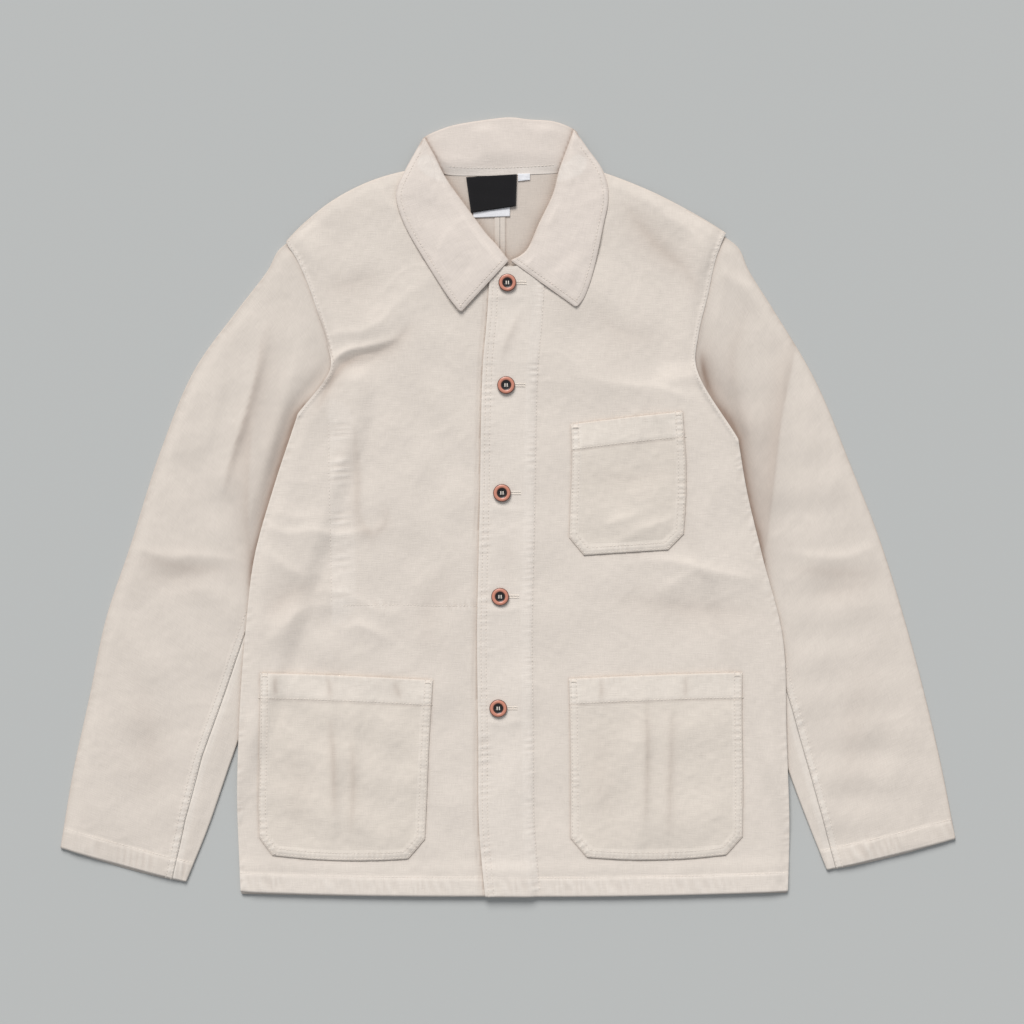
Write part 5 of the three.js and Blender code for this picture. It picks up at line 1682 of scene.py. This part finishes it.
FRONT_RIGHT = (
    Row(18.5, -389, -268, -385, -2),
    Row(18.5, -300, -271.3, -300),
    Row(18.5, -200, -268.5, -200),
    Row(18.5, -120, -262.5, -120),
    Row(18.5, -50, -254, -50),
    Row(18.5, 22, -234, 22),
    Row(18.5, 92, -210.5, 93, 0, OUT),
    Row(18.5, 135, -178, 138),
    Row(18.5, 178, -181, 162),
    Row(18.5, 241.3, -194, 204, 0, IN),
    Row(-4, 243, -202, 226),
    Row(-34, 269, -209, 242, 3),
    Row(-58, 298, -215, 253, 8),
    Row(-77.5, 322, -220, 260, 12),
    Row(-85.5, 339.5, -222.5, 265.5, 15),
)
FRONT_LEFT = (
    Row(-23.5, -389.5, 279.5, -384.5, -2),
    Row(-29.5, -320, 281, -330),
    Row(-30.3, -230, 278, -230),
    Row(-31.5, -130, 274, -130),
    Row(-30, -50, 254, -50),
    Row(-28.5, 15, 238.5, 15),
    Row(-27.5, 87, 229.5, 68, 0, OUT),
    Row(-25.5, 145, 188, 138),
    Row(-21.5, 190, 190, 172),
    Row(-18.5, 241.3, 200, 214, 0, IN),
    Row(9, 241.3, 204, 234),
    Row(32, 256, 208, 250, 3),
    Row(43.5, 281, 211, 258, 5),
    Row(59.5, 311, 214, 266, 6),
    Row(77, 340.5, 217.5, 274, 6),
)
BACK_RIGHT = (
    Row(CENTRE_BACK_X, -390, -267, -387, -1),
    Row(CENTRE_BACK_X, -300, -270.5, -300),
    Row(CENTRE_BACK_X, -200, -267.5, -200),
    Row(CENTRE_BACK_X, -120, -261.5, -120),
    Row(CENTRE_BACK_X, -50, -253, -50),
    Row(CENTRE_BACK_X, 22, -233, 22),
    Row(CENTRE_BACK_X, 90, -209.5, 90, 0, OUT),
    Row(CENTRE_BACK_X, 107, -190, 107),
    Row(CENTRE_BACK_X, 124, -165.4, 124, 0, OUT),
    Row(CENTRE_BACK_X, 178, -171.4, 161),
    Row(CENTRE_BACK_X, 240, -182.3, 196.6),
    Row(CENTRE_BACK_X, 331, -193.6, 222, 0, IN),
    Row(-38, 331.2, -201.4, 237, 8),
    Row(-64, 333, -209.4, 250.5, 13),
    Row(-84, 339, -219, 264, 15),
)
BACK_LEFT = (
    Row(CENTRE_BACK_X, -390, 278.5, -386, -1),
    Row(CENTRE_BACK_X, -300, 279.8, -330),
    Row(CENTRE_BACK_X, -200, 276.5, -200),
    Row(CENTRE_BACK_X, -120, 272.5, -126),
    Row(CENTRE_BACK_X, -50, 253, -50),
    Row(CENTRE_BACK_X, 22, 236.5, 20),
    Row(CENTRE_BACK_X, 74, 226, 66, 0, OUT),
    Row(CENTRE_BACK_X, 100, 202, 94),
    Row(CENTRE_BACK_X, 124, 175.6, 124, 0, OUT),
    Row(CENTRE_BACK_X, 178, 182.3, 162),
    Row(CENTRE_BACK_X, 240, 190.4, 199),
    Row(CENTRE_BACK_X, 331, 196.4, 222, 0, IN),
    Row(24, 332.4, 201, 238, 4),
    Row(52, 334.5, 205.3, 252, 5),
    Row(75, 339.5, 211.8, 269, 6),
)
SLEEVE_RIGHT = (
    Row(-322.5, -375, -448.5, -341, -1),
    Row(-301, -322, -436, -266),
    Row(-281, -264, -419.5, -190),
    Row(-261, -206, -403, -112),
    Row(-243, -148, -379, -40),
    Row(-223, -84, -348, 57, 2),
    Row(-202, -18, -314.5, 137, 5),
    Row(-184, 38, -271.5, 197, 9),
    Row(-172, 66, -241, 237, 12),
    Row(-168.5, 78, -231, 256, 13.5),
    Row(-165, 90, -221, 265, 15),
)
SLEEVE_RIGHT_SEAM = (14, 24, 29, 29, 28, 27, 26, 25, 25, 25, 25)
SLEEVE_LEFT = (
    Row(318.5, -363, 447.5, -332, -1),
    Row(300.5, -318, 433.5, -260),
    Row(284.5, -276, 418, -193),
    Row(264, -216, 399.5, -123),
    Row(246, -155, 372.5, -35),
    Row(226, -93, 344.5, 37, 2),
    Row(206, -28, 307, 127, 5),
    Row(190, 32, 265.5, 197, 8),
    Row(181, 62, 240.5, 237, 8),
    Row(177.5, 77, 230.5, 259, 7),
    Row(174, 92, 214.5, 272, 6.5),
)
SLEEVE_LEFT_SEAM = (9, 15, 20, 24, 25, 25, 25, 25, 25, 25, 25)

CHEST_POCKET = (
    Row(75.7, -48.5, 159.4, -43, 0),
    Row(60.5, -30.3, 175.1, -27, 0, BOTH),
    Row(61.8, 8, 177.2, 8),
    Row(63.2, 52, 177.2, 46),
    Row(62.2, 82.5, 173.9, 95.2, 0.6),
)
HIP_POCKET_RIGHT = (
    Row(-236, -348.3, -100.5, -352, -3.5),
    Row(-249.2, -330.7, -83.5, -332, -2, BOTH),
    Row(-250.6, -300, -82, -300),
    Row(-248.8, -225, -79, -230),
    Row(-248.1, -165.7, -75.5, -173, 0.8),
)
HIP_POCKET_LEFT = (
    Row(78.5, -350.3, 217.4, -348, -4),
    Row(61.9, -331, 234.1, -329.6, -2, BOTH),
    Row(61.9, -254.6, 234.6, -270),
    Row(61.2, -210, 233.6, -210),
    Row(60.3, -171.7, 233.3, -165.3, 0.8),
)

WING_RIGHT = (
    WingRow(0.5, 246.5, -48, 194, -1, 243.2, 4.4, 4.5),
    WingRow(-12.5, 263, -62.5, 213, -16.5, 258, 3.2, 4.5),
    WingRow(-22.5, 274, -82.5, 244.5, -31, 270.5, 2.4, 4.5),
    WingRow(-42.5, 301, -103.5, 281, -55, 298.5, 2.4, 4.5),
    WingRow(-62.5, 329, -112.5, 312, -74, 322.5, 2.4, 4.4),
    WingRow(-73.8, 352, -103.5, 336, -80.5, 342.5, 2.1, 3.6),
    WingRow(-83.5, 369, -87, 366, -81.5, 345, 1.9, 3.2),
)
WING_LEFT = (
    WingRow(1.8, 246.5, 68, 199, 3.5, 243.2, 4.4, 4.5),
    WingRow(12.5, 252, 77, 212, 16, 249.3, 3.6, 4.5),
    WingRow(20.5, 261, 86, 240, 27.5, 258.5, 2.8, 4.5),
    WingRow(30.5, 284, 94, 277, 41, 282, 2.4, 4.5),
    WingRow(44, 312.5, 99.8, 309, 57, 311.5, 2.4, 4.5),
    WingRow(50.5, 337, 95, 335, 68, 333, 2.4, 4.0),
    WingRow(58.5, 359, 78, 360, 71.5, 344.5, 2.1, 3.6),
    WingRow(65, 377, 67.5, 374.5, 68.5, 347, 1.9, 3.2),
)
COLLAR_BAND = (
    BandRow(-88, 362, -82, 343),
    BandRow(-84.5, 370, -77, 338.5),
    BandRow(-68, 378, -62, 332.7),
    BandRow(-49, 383.5, -40, 331.4),
    BandRow(-12.5, 389, -9, 331.5),
    BandRow(4, 390, 8, 332),
    BandRow(20.5, 388, 26, 332.9),
    BandRow(45.5, 386, 48, 334.2),
    BandRow(65.5, 378, 65, 338),
    BandRow(71, 370, 69.5, 343),
)

FOLDS_FRONT_RIGHT = (
    Fold(2.7, 4, 5, ((-215, 86), (-201, 112), (-184, 135), (-174, 147), (-161, 156), (-140, 161), (-112, 168)), True),
    Fold(-1.5, 4.5, 8, ((-194, 104), (-186, 119), (-175, 132), (-163, 143), (-140, 152), (-119, 160), (-98, 178))),
    Fold(1.6, 5, 9, ((-188, 168), (-168, 173), (-146, 176), (-124, 188), (-108, 208))),
    Fold(1.2, 6, 10, ((-130, 318), (-122, 303), (-108, 295))),
    Fold(-0.9, 8, 14, ((-186, 214), (-160, 222), (-128, 232))),
    Fold(1.9, 5, 11, ((-248, -16), (-222, -26), (-196, -24), (-168, -28), (-126, -20))),
    Fold(1.2, 5, 9, ((-238, 0), (-214, -10), (-186, -9))),
    Fold(1.6, 5, 10, ((-244, -40), (-222, -60), (-202, -70))),
    Fold(2.6, 8, 13, ((-240, -138), (-214, -110), (-198, -101), (-176, -99))),
    Fold(-1.5, 9, 14, ((-244, -112), (-222, -90), (-190, -78))),
    Fold(2.0, 6, 11, ((-168, -124), (-148, -119), (-132, -126), (-112, -136))),
    Fold(1.2, 6, 12, ((-200, -84), (-160, -88), (-130, -104), (-104, -108))),
    Fold(1.3, 6, 9, ((-178, -176), (-176, -230), (-173, -286), (-177, -340))),
    Fold(0.8, 5, 8, ((-153, -186), (-154, -250), (-151, -320))),
    Fold(1.1, 10, 16, ((-56, 256), (-92, 218), (-116, 182))),
    Fold(0.9, 8, 18, ((-70, 60), (-96, 20), (-100, -40))),
    Fold(-0.8, 12, 14, ((-60, -60), (-80, -110), (-76, -150))),
    Fold(1.2, 4, 9, ((-152, 66), (-150, 20), (-148, -14), (-138, -30), (-126, -20))),
)
FOLDS_FRONT_LEFT = (
    Fold(2.6, 8, 13, ((124, 324), (152, 294), (181, 276), (202, 236))),
    Fold(-1.4, 10, 14, ((116, 300), (146, 266), (176, 236))),
    Fold(1.6, 6, 11, ((74, 130), (110, 122), (146, 119), (188, 107))),
    Fold(2.3, 6, 11, ((130, -54), (158, -54), (180, -58), (208, -66), (246, -72))),
    Fold(1.2, 6, 12, ((148, -86), (166, -76), (186, -64))),
    Fold(-1.2, 10, 14, ((108, -92), (150, -98), (206, -104), (248, -106))),
    Fold(2.4, 4, 4, ((180, 170), (188, 134), (204, 104), (230, 64)), True),
    Fold(1.4, 3, 4, ((200, 122), (206, 112), (214, 96)), True),
    Fold(1.2, 6, 9, ((134, -176), (136, -240), (135, -300), (133, -344))),
    Fold(0.9, 6, 9, ((161, -182), (160, -240), (158, -330))),
    Fold(1.2, 8, 12, ((196, -20), (204, 12), (200, 48))),
    Fold(-0.8, 8, 14, ((86, 200), (110, 176), (150, 168))),
    Fold(1.2, 3.5, 8, ((11, 194), (2, 176), (-7, 150), (-8, 124))),
    Fold(0.7, 3, 4, ((-22, 208), (-6, 211), (16, 208))),
    Fold(0.7, 3, 5, ((-22, 3), (-4, -2), (16, -3))),
    Fold(0.7, 3, 5, ((-24, -103), (-6, -104), (14, -101))),
    Fold(0.7, 3, 5, ((-26, -213), (-8, -216), (16, -213))),
    Fold(-0.7, 8, 8, ((2, -30), (0, -60), (4, -80))),
    Fold(0.9, 8, 10, ((6, -240), (2, -280), (8, -330))),
)
FOLDS_SLEEVE_RIGHT = (
    Fold(2.8, 3, 8, ((-241, 172), (-246, 150), (-254, 122), (-263, 90), (-275, 56), (-284, 20))),
    Fold(2.0, 9, 3, ((-254, 106), (-258, 60), (-260, 8), (-258, -36), (-254, -74))),
    Fold(-2.4, 10, 8, ((-177, 152), (-194, 122), (-212, 92), (-227, 50), (-246, -10)), True),
    Fold(2.6, 12, 8, ((-206, 160), (-222, 112), (-234, 74), (-248, 10))),
    Fold(2.0, 5, 10, ((-370, -42), (-340, -50), (-312, -49), (-276, -52))),
    Fold(1.4, 7, 14, ((-354, -98), (-326, -86), (-300, -84), (-280, -96))),
    Fold(-1.0, 14, 12, ((-370, -70), (-336, -68), (-300, -64))),
    Fold(1.3, 10, 15, ((-348, 34), (-330, -6), (-322, -44))),
    Fold(1.1, 12, 18, ((-412, -200), (-396, -246), (-384, -306))),
    Fold(-0.9, 12, 16, ((-368, -180), (-360, -230), (-352, -290))),
    Fold(1.1, 5, 12, ((-286, 156), (-290, 110), (-302, 64))),
)
FOLDS_SLEEVE_LEFT = (
    Fold(2.4, 5, 11, ((205, 243), (218, 232), (232, 223), (256, 215))),
    Fold(3.0, 11, 3.5, ((275, 146), (273, 105), (270, 72), (266, 42), (257, -36))),
    Fold(-2.4, 11, 12, ((192, 180), (198, 148), (206, 126), (220, 92), (229, 58), (244, -10)), True),
    Fold(2.4, 8, 12, ((208, 200), (214, 160), (228, 118), (238, 80), (248, 20))),
    Fold(2.0, 10, 5, ((366, -40), (336, -50), (306, -50), (280, -45))),
    Fold(-1.0, 12, 14, ((366, -76), (336, -84), (300, -84))),
    Fold(1.3, 13, 11, ((336, 48), (318, 6), (311, -32))),
    Fold(1.1, 16, 12, ((406, -190), (390, -240), (376, -300))),
    Fold(-0.9, 14, 12, ((352, -160), (346, -220), (340, -280))),
    Fold(1.1, 10, 7, ((292, 126), (300, 70), (307, 16))),
    Fold(0.9, 5, 5, ((357, -346), (364, -334), (372, -326)), True),
)
# Strokes of painted shade beside sharp creases and the body's edges
SHADE_STROKES_FRONT_RIGHT = (
    Fold(0.36, 4, 3, ((-190, 100), (-182, 116), (-175, 129), (-166, 141), (-150, 150))),
    Fold(0.14, 3, 5, ((-164, 147), (-140, 155), (-119, 162), (-100, 180))),
    Fold(0.5, 0.8, 0.8, ((-190, 196), (-184, 176), (-178, 156), (-174, 145))),
    Fold(0.22, 2, 7, ((-153, 74), (-150, 30), (-149, -10), (-136, -30))),
    Fold(0.16, 4, 3, ((-150, -22), (-134, -26), (-124, -18), (-122, 0))),
)
SHADE_STROKES_FRONT_LEFT = (
    Fold(0.16, 5, 5, ((118, 300), (146, 264), (176, 238), (190, 214))),
    Fold(0.12, 4, 3, ((10, 190), (2, 172), (-6, 150))),
)
SHADE_STROKES_SLEEVE_RIGHT = (
    Fold(0.34, 9, 1.2, ((-246, 168), (-252, 130), (-262, 92), (-274, 56), (-284, 20))),
    Fold(0.22, 1.2, 7, ((-258, 84), (-260, 40), (-261, -14), (-257, -66))),
    Fold(0.5, 3, 3, ((-252, -36), (-256, -58), (-260, -84))),
    Fold(0.14, 5, 5, ((-364, -52), (-330, -60), (-284, -62))),
)
SHADE_STROKES_SLEEVE_LEFT = (
    Fold(0.36, 1.2, 12, ((288, 168), (280, 130), (272, 90), (266, 40), (257, -38))),
    Fold(0.85, 4, 3, ((193, 154), (195, 138), (199, 123), (206, 108))),
    Fold(0.3, 4, 2, ((204, 112), (212, 98), (226, 78))),
    Fold(0.16, 5, 8, ((236, 190), (224, 150), (228, 112), (238, 76))),
    Fold(0.5, 3, 3, ((250, -24), (252, -50), (256, -80))),
    Fold(0.14, 5, 5, ((360, -66), (330, -66), (286, -62))),
)
FOLDS_CHEST = (
    Fold(0.8, 3.5, 5, ((75, 87), (76, 72), (74, 57))),
    Fold(0.7, 3.5, 5, ((130, 93), (131, 78), (129, 63))),
    Fold(1.2, 4, 7, ((96, -18), (112, -12), (130, -7))),
    Fold(1.2, 4, 8, ((122, -26), (146, -18), (168, -11))),
    Fold(-0.6, 8, 10, ((84, 30), (120, 26), (160, 34))),
)
FOLDS_HIP_RIGHT = (
    Fold(0.9, 5, 8, ((-178, -170), (-176, -230), (-173, -286), (-177, -340))),
    Fold(0.6, 5, 7, ((-153, -186), (-154, -250), (-151, -320))),
    Fold(-0.7, 12, 12, ((-220, -240), (-210, -280), (-214, -320))),
)
FOLDS_HIP_LEFT = (
    Fold(0.9, 5, 8, ((134, -176), (136, -240), (135, -300), (133, -344))),
    Fold(0.7, 5, 8, ((161, -182), (160, -240), (158, -330))),
    Fold(-0.7, 12, 12, ((96, -220), (92, -270), (98, -310))),
)
# Strokes of painted shade on the hip pockets
SHADE_STROKES_HIP_RIGHT = (
    Fold(0.3, 2.5, 2.5, ((-178, -215), (-175, -250), (-174, -305))),
    Fold(0.24, 3, 3, ((-156, -235), (-155, -280), (-157, -322))),
    Fold(0.34, 2, 2, ((-232, -169), (-233, -178), (-232, -189))),
    Fold(0.28, 2, 2, ((-180, -171), (-179, -180), (-178, -191))),
    Fold(0.28, 2, 3, ((-113, -174), (-111, -182), (-108, -191))),
)
SHADE_STROKES_HIP_LEFT = (
    Fold(0.24, 2.5, 2.5, ((138, -195), (139, -250), (137, -310))),
    Fold(0.2, 3, 3, ((164, -205), (162, -260), (160, -325))),
    Fold(0.26, 2, 2, ((92, -173), (93, -182), (92, -192))),
    Fold(0.26, 2, 2, ((176, -170), (177, -180), (176, -190))),
)
FOLDS_COLLAR = (
    Fold(-1.0, 8, 9, ((70, 264), (50, 242), (34, 230), (16, 219))),
    Fold(0.8, 8, 10, ((86, 262), (66, 240), (44, 224))),
    Fold(-0.8, 6, 8, ((-34, 246), (-46, 236), (-56, 226))),
    Fold(1.2, 3.5, 6, ((-84, 370), (-74, 354), (-58, 341)), True),
    Fold(-0.8, 8, 8, ((-66, 356), (-46, 358), (-26, 350)), True),
)

INNER_POCKET = (
    ((-179.5, 84), (-179.2, 30), (-178, -30), (-177, -93)),
    ((-165, -98.6), (-120, -97.8), (-70, -98.8), (-30.5, -98.6)),
)

BUTTONS = (
    Button(-1.1, 224),
    Button(-2.4, 121.7),
    Button(-6.5, 14),
    Button(-8.4, -89.6),
    Button(-10.2, -201),
)
BUTTONHOLE = (8.0, 19.0)  # from and to, right of the button's middle

LABELS = (
    Label("care_label", "white_label", ((-35.5, 311), (-35.5, 289.5), (1.5, 291), (1.5, 312)), 1.9, 0.3),
    Label("neck_label", "black_label", ((-42.5, 330), (-37.5, 294.2), (7.5, 301), (8.5, 333)), 2.5, 0.6, 0.4),
    Label("size_tab", "white_label", ((9.5, 333.6), (9.5, 326), (21.5, 327.4), (21.5, 333.8)), 1.5, 0.25, folded=True),
)

# Each cotton: base colour, colour of worn cloth and of painted highlights, colour of painted shade
BODY_COTTON = Cotton("body_cotton", (225, 215, 205), (236, 227, 218), (160, 140, 126))
SLEEVE_COTTON = Cotton("sleeve_cotton", (222, 212, 202), (234, 226, 217), (160, 140, 127))
POCKET_COTTON = Cotton("pocket_cotton", (224, 214, 203), (236, 227, 217), (158, 138, 124))
COLLAR_COTTON = Cotton("collar_cotton", (228, 217, 208), (238, 230, 222), (164, 144, 131))
THREAD = Cotton("sewing_thread", (232, 223, 213), (238, 230, 220), (190, 172, 156), cloud=0.02)
BLACK_LABEL = Cotton("black_label", (26, 25, 27), (60, 58, 60), (12, 12, 13), thread=0.4, cloud=0.1)
WHITE_LABEL = Cotton("white_label", (236, 236, 240), (246, 246, 250), (200, 200, 206), thread=0.35, cloud=0.02)
HORN = Horn("button_horn", (22, 17, 17), (206, 138, 116), (88, 52, 43))


class Stage:
    """The floor, the light and the camera of the photograph."""

    def floor(self) -> None:
        """A plain pale floor."""
        mesh = bpy.data.meshes.new("floor")
        half = 3.0
        mesh.from_pydata([(-half, -half, 0), (half, -half, 0), (half, half, 0), (-half, half, 0)], [], [[0, 1, 2, 3]])
        made = bpy.data.objects.new("floor", mesh)
        bpy.context.scene.collection.objects.link(made)
        material = bpy.data.materials.new("pale_floor")
        material.use_nodes = True
        paint = material.node_tree.nodes["Principled BSDF"]
        paint.inputs["Base Color"].default_value = colour(188, 190, 189)
        paint.inputs["Roughness"].default_value = 0.85
        mesh.materials.append(material)

    def lights(self) -> None:
        """Soft light, mostly from beyond the collar, with a pale surround."""
        lamp = bpy.data.lights.new("window", "SUN")
        lamp.energy, lamp.angle = 3.0, math.radians(32)
        lamp.color = (1.0, 0.985, 0.965)
        made = bpy.data.objects.new("window", lamp)
        made.rotation_euler = Vector((0.18, -0.82, -0.68)).to_track_quat("-Z", "Y").to_euler()
        bpy.context.scene.collection.objects.link(made)
        world = bpy.data.worlds.new("surround")
        world.use_nodes = True
        world.node_tree.nodes["Background"].inputs[0].default_value = (0.93, 0.96, 1.0, 1.0)
        world.node_tree.nodes["Background"].inputs[1].default_value = 0.385
        bpy.context.scene.world = world

    def camera(self) -> None:
        """Straight overhead, with the photograph's frame."""
        bpy.context.scene.view_settings.view_transform = "Standard"
        height, frame_width, middle = 2.2, 1.024, (0.0035, -0.005)
        data = bpy.data.cameras.new("overhead")
        data.sensor_width = 36.0
        data.lens = data.sensor_width * (height - 0.004) / frame_width
        made = bpy.data.objects.new("overhead", data)
        made.location = (*middle, height)
        bpy.context.scene.collection.objects.link(made)
        bpy.context.scene.camera = made


def sew(reliefs: Sequence[FrontRelief], sleeves: Sequence[Sleeve], pockets: Sequence[PatchPocket], collar: Collar) -> None:
    """Lays every line of stitching, the bartacks and the buttonholes.

    Args:
        reliefs: The fronts' heights.
        sleeves: The sleeves.
        pockets: The patch pockets.
        collar: The collar.
    """
    sewing = Sewing(THREAD.material())
    for relief, side in zip(reliefs, ("right", "left")):
        lines = [on_surface(line, relief.top) for line in relief.lines]
        sewing.lay(f"front_{side}_stitching", lines, sewing.stitches, "body_cotton")
    for sleeve in sleeves:
        visible = []
        for line in (*sleeve.lines, sleeve.cuff_line):
            points = on_surface(line, lambda xy, s=sleeve: s.dressed(xy, True))
            points = points[sleeve.outside(points[:, :2]) > 1.0]
            if len(points) > 2:
                visible.append(points)
        sewing.lay(f"sleeve_{sleeve.side}_stitching", visible, sewing.stitches, "sleeve_cotton")
    lines, tacks = [], []
    for pocket in pockets:
        lines += [on_surface(line, pocket.top) for line in (*pocket.lines, pocket.band_line)]
        first, second = (line.at(np.array([3.0, line.length - 3.0])) for line in pocket.lines)
        for a, b in zip(first, second):
            tacks.append(on_surface(zigzag(a, b, 1.8, 0.8), pocket.top, 0.15, 0.3))
    sewing.lay("pocket_stitching", lines, sewing.stitches, "pocket_cotton")
    sewing.lay("pocket_bartacks", tacks, sewing.threads, "pocket_cotton", Thread=0.5)
    holes = []
    for button in BUTTONS:
        for side in (-1.1, 1.1):
            start, stop = (button.x + BUTTONHOLE[0], button.y + side), (button.x + BUTTONHOLE[1], button.y + side)
            holes.append(on_surface(zigzag(start, stop, 1.5, 0.75), reliefs[1].top, 0.15, 0.3))
    sewing.lay("collar_stitching", collar.stitch_lines(), sewing.stitches, "collar_cotton")
    strands = []
    for button in BUTTONS:
        base = float(reliefs[1].top(np.array([[button.x, button.y]]))[0]) + 2.55
        for side in (-1.35, -0.85, 0.85, 1.35):
            ends = [(button.x + side, button.y - 1.7, base - 0.35), (button.x + side, button.y + 1.7, base - 0.35)]
            strands.append(np.array([ends[0], (button.x + side, button.y, base), ends[1]]))
    sewing.lay("button_thread", strands, sewing.threads, "body_cotton", Thread=0.7)
    sewing.lay("buttonholes", holes, sewing.threads, "body_cotton", Thread=0.5)


def main() -> None:
    """Builds the jacket piece by piece, then the stage."""
    logging.basicConfig(level=logging.INFO, format="%(name)s: %(message)s")
    body, sleeve_cloth = BODY_COTTON.material(), SLEEVE_COTTON.material()
    right = FrontRelief(Panel(FRONT_RIGHT), FOLDS_FRONT_RIGHT, False, 21, INNER_POCKET)
    left = FrontRelief(Panel(FRONT_LEFT), FOLDS_FRONT_LEFT, True, 31)
    collar = Collar((WING_RIGHT, WING_LEFT), COLLAR_BAND, (right, left), FOLDS_COLLAR)
    for name, rows, seed in (("back_right", BACK_RIGHT, 11), ("back_left", BACK_LEFT, 12)):
        Back(rows, f"{name}_cloth", seed, collar.rolls[:2]).build(body)
    pockets = [
        PatchPocket("chest_pocket", CHEST_POCKET, FOLDS_CHEST, (), left, 71),
        PatchPocket("hip_pocket_right", HIP_POCKET_RIGHT, FOLDS_HIP_RIGHT, SHADE_STROKES_HIP_RIGHT, right, 81),
        PatchPocket("hip_pocket_left", HIP_POCKET_LEFT, FOLDS_HIP_LEFT, SHADE_STROKES_HIP_LEFT, left, 91),
    ]
    under = Front(right, "front_right_cloth", SHADE_STROKES_FRONT_RIGHT, left.edge)
    under.build(body, ["back_right_cloth"], pockets[1:2])
    over = Front(left, "front_left_cloth", SHADE_STROKES_FRONT_LEFT)
    over.build(body, ["back_left_cloth", "front_right_cloth"], pockets[::2])
    sleeves = [
        Sleeve("right", SLEEVE_RIGHT, SLEEVE_RIGHT_SEAM, FOLDS_SLEEVE_RIGHT, SHADE_STROKES_SLEEVE_RIGHT, right, 41),
        Sleeve("left", SLEEVE_LEFT, SLEEVE_LEFT_SEAM, FOLDS_SLEEVE_LEFT, SHADE_STROKES_SLEEVE_LEFT, left, 51),
    ]
    for sleeve in sleeves:
        sleeve.build(sleeve_cloth)
    pocket_cloth = POCKET_COTTON.material()
    for pocket in pockets:
        pocket.build(pocket_cloth)
    collar.build(COLLAR_COTTON.material())
    horn = HORN.material()
    for i, button in enumerate(BUTTONS, 1):
        floor = float(left.top(np.array([[button.x, button.y]]))[0]) + 0.2
        button.build(f"button_{i}", floor, horn)
    labels = {"black_label": BLACK_LABEL.material(), "white_label": WHITE_LABEL.material()}
    for label in LABELS:
        label.build(labels[label.slot])
    sew((right, left), sleeves, pockets, collar)
    stage = Stage()
    stage.floor()
    stage.lights()
    stage.camera()


if __name__ == "__main__":
    main()
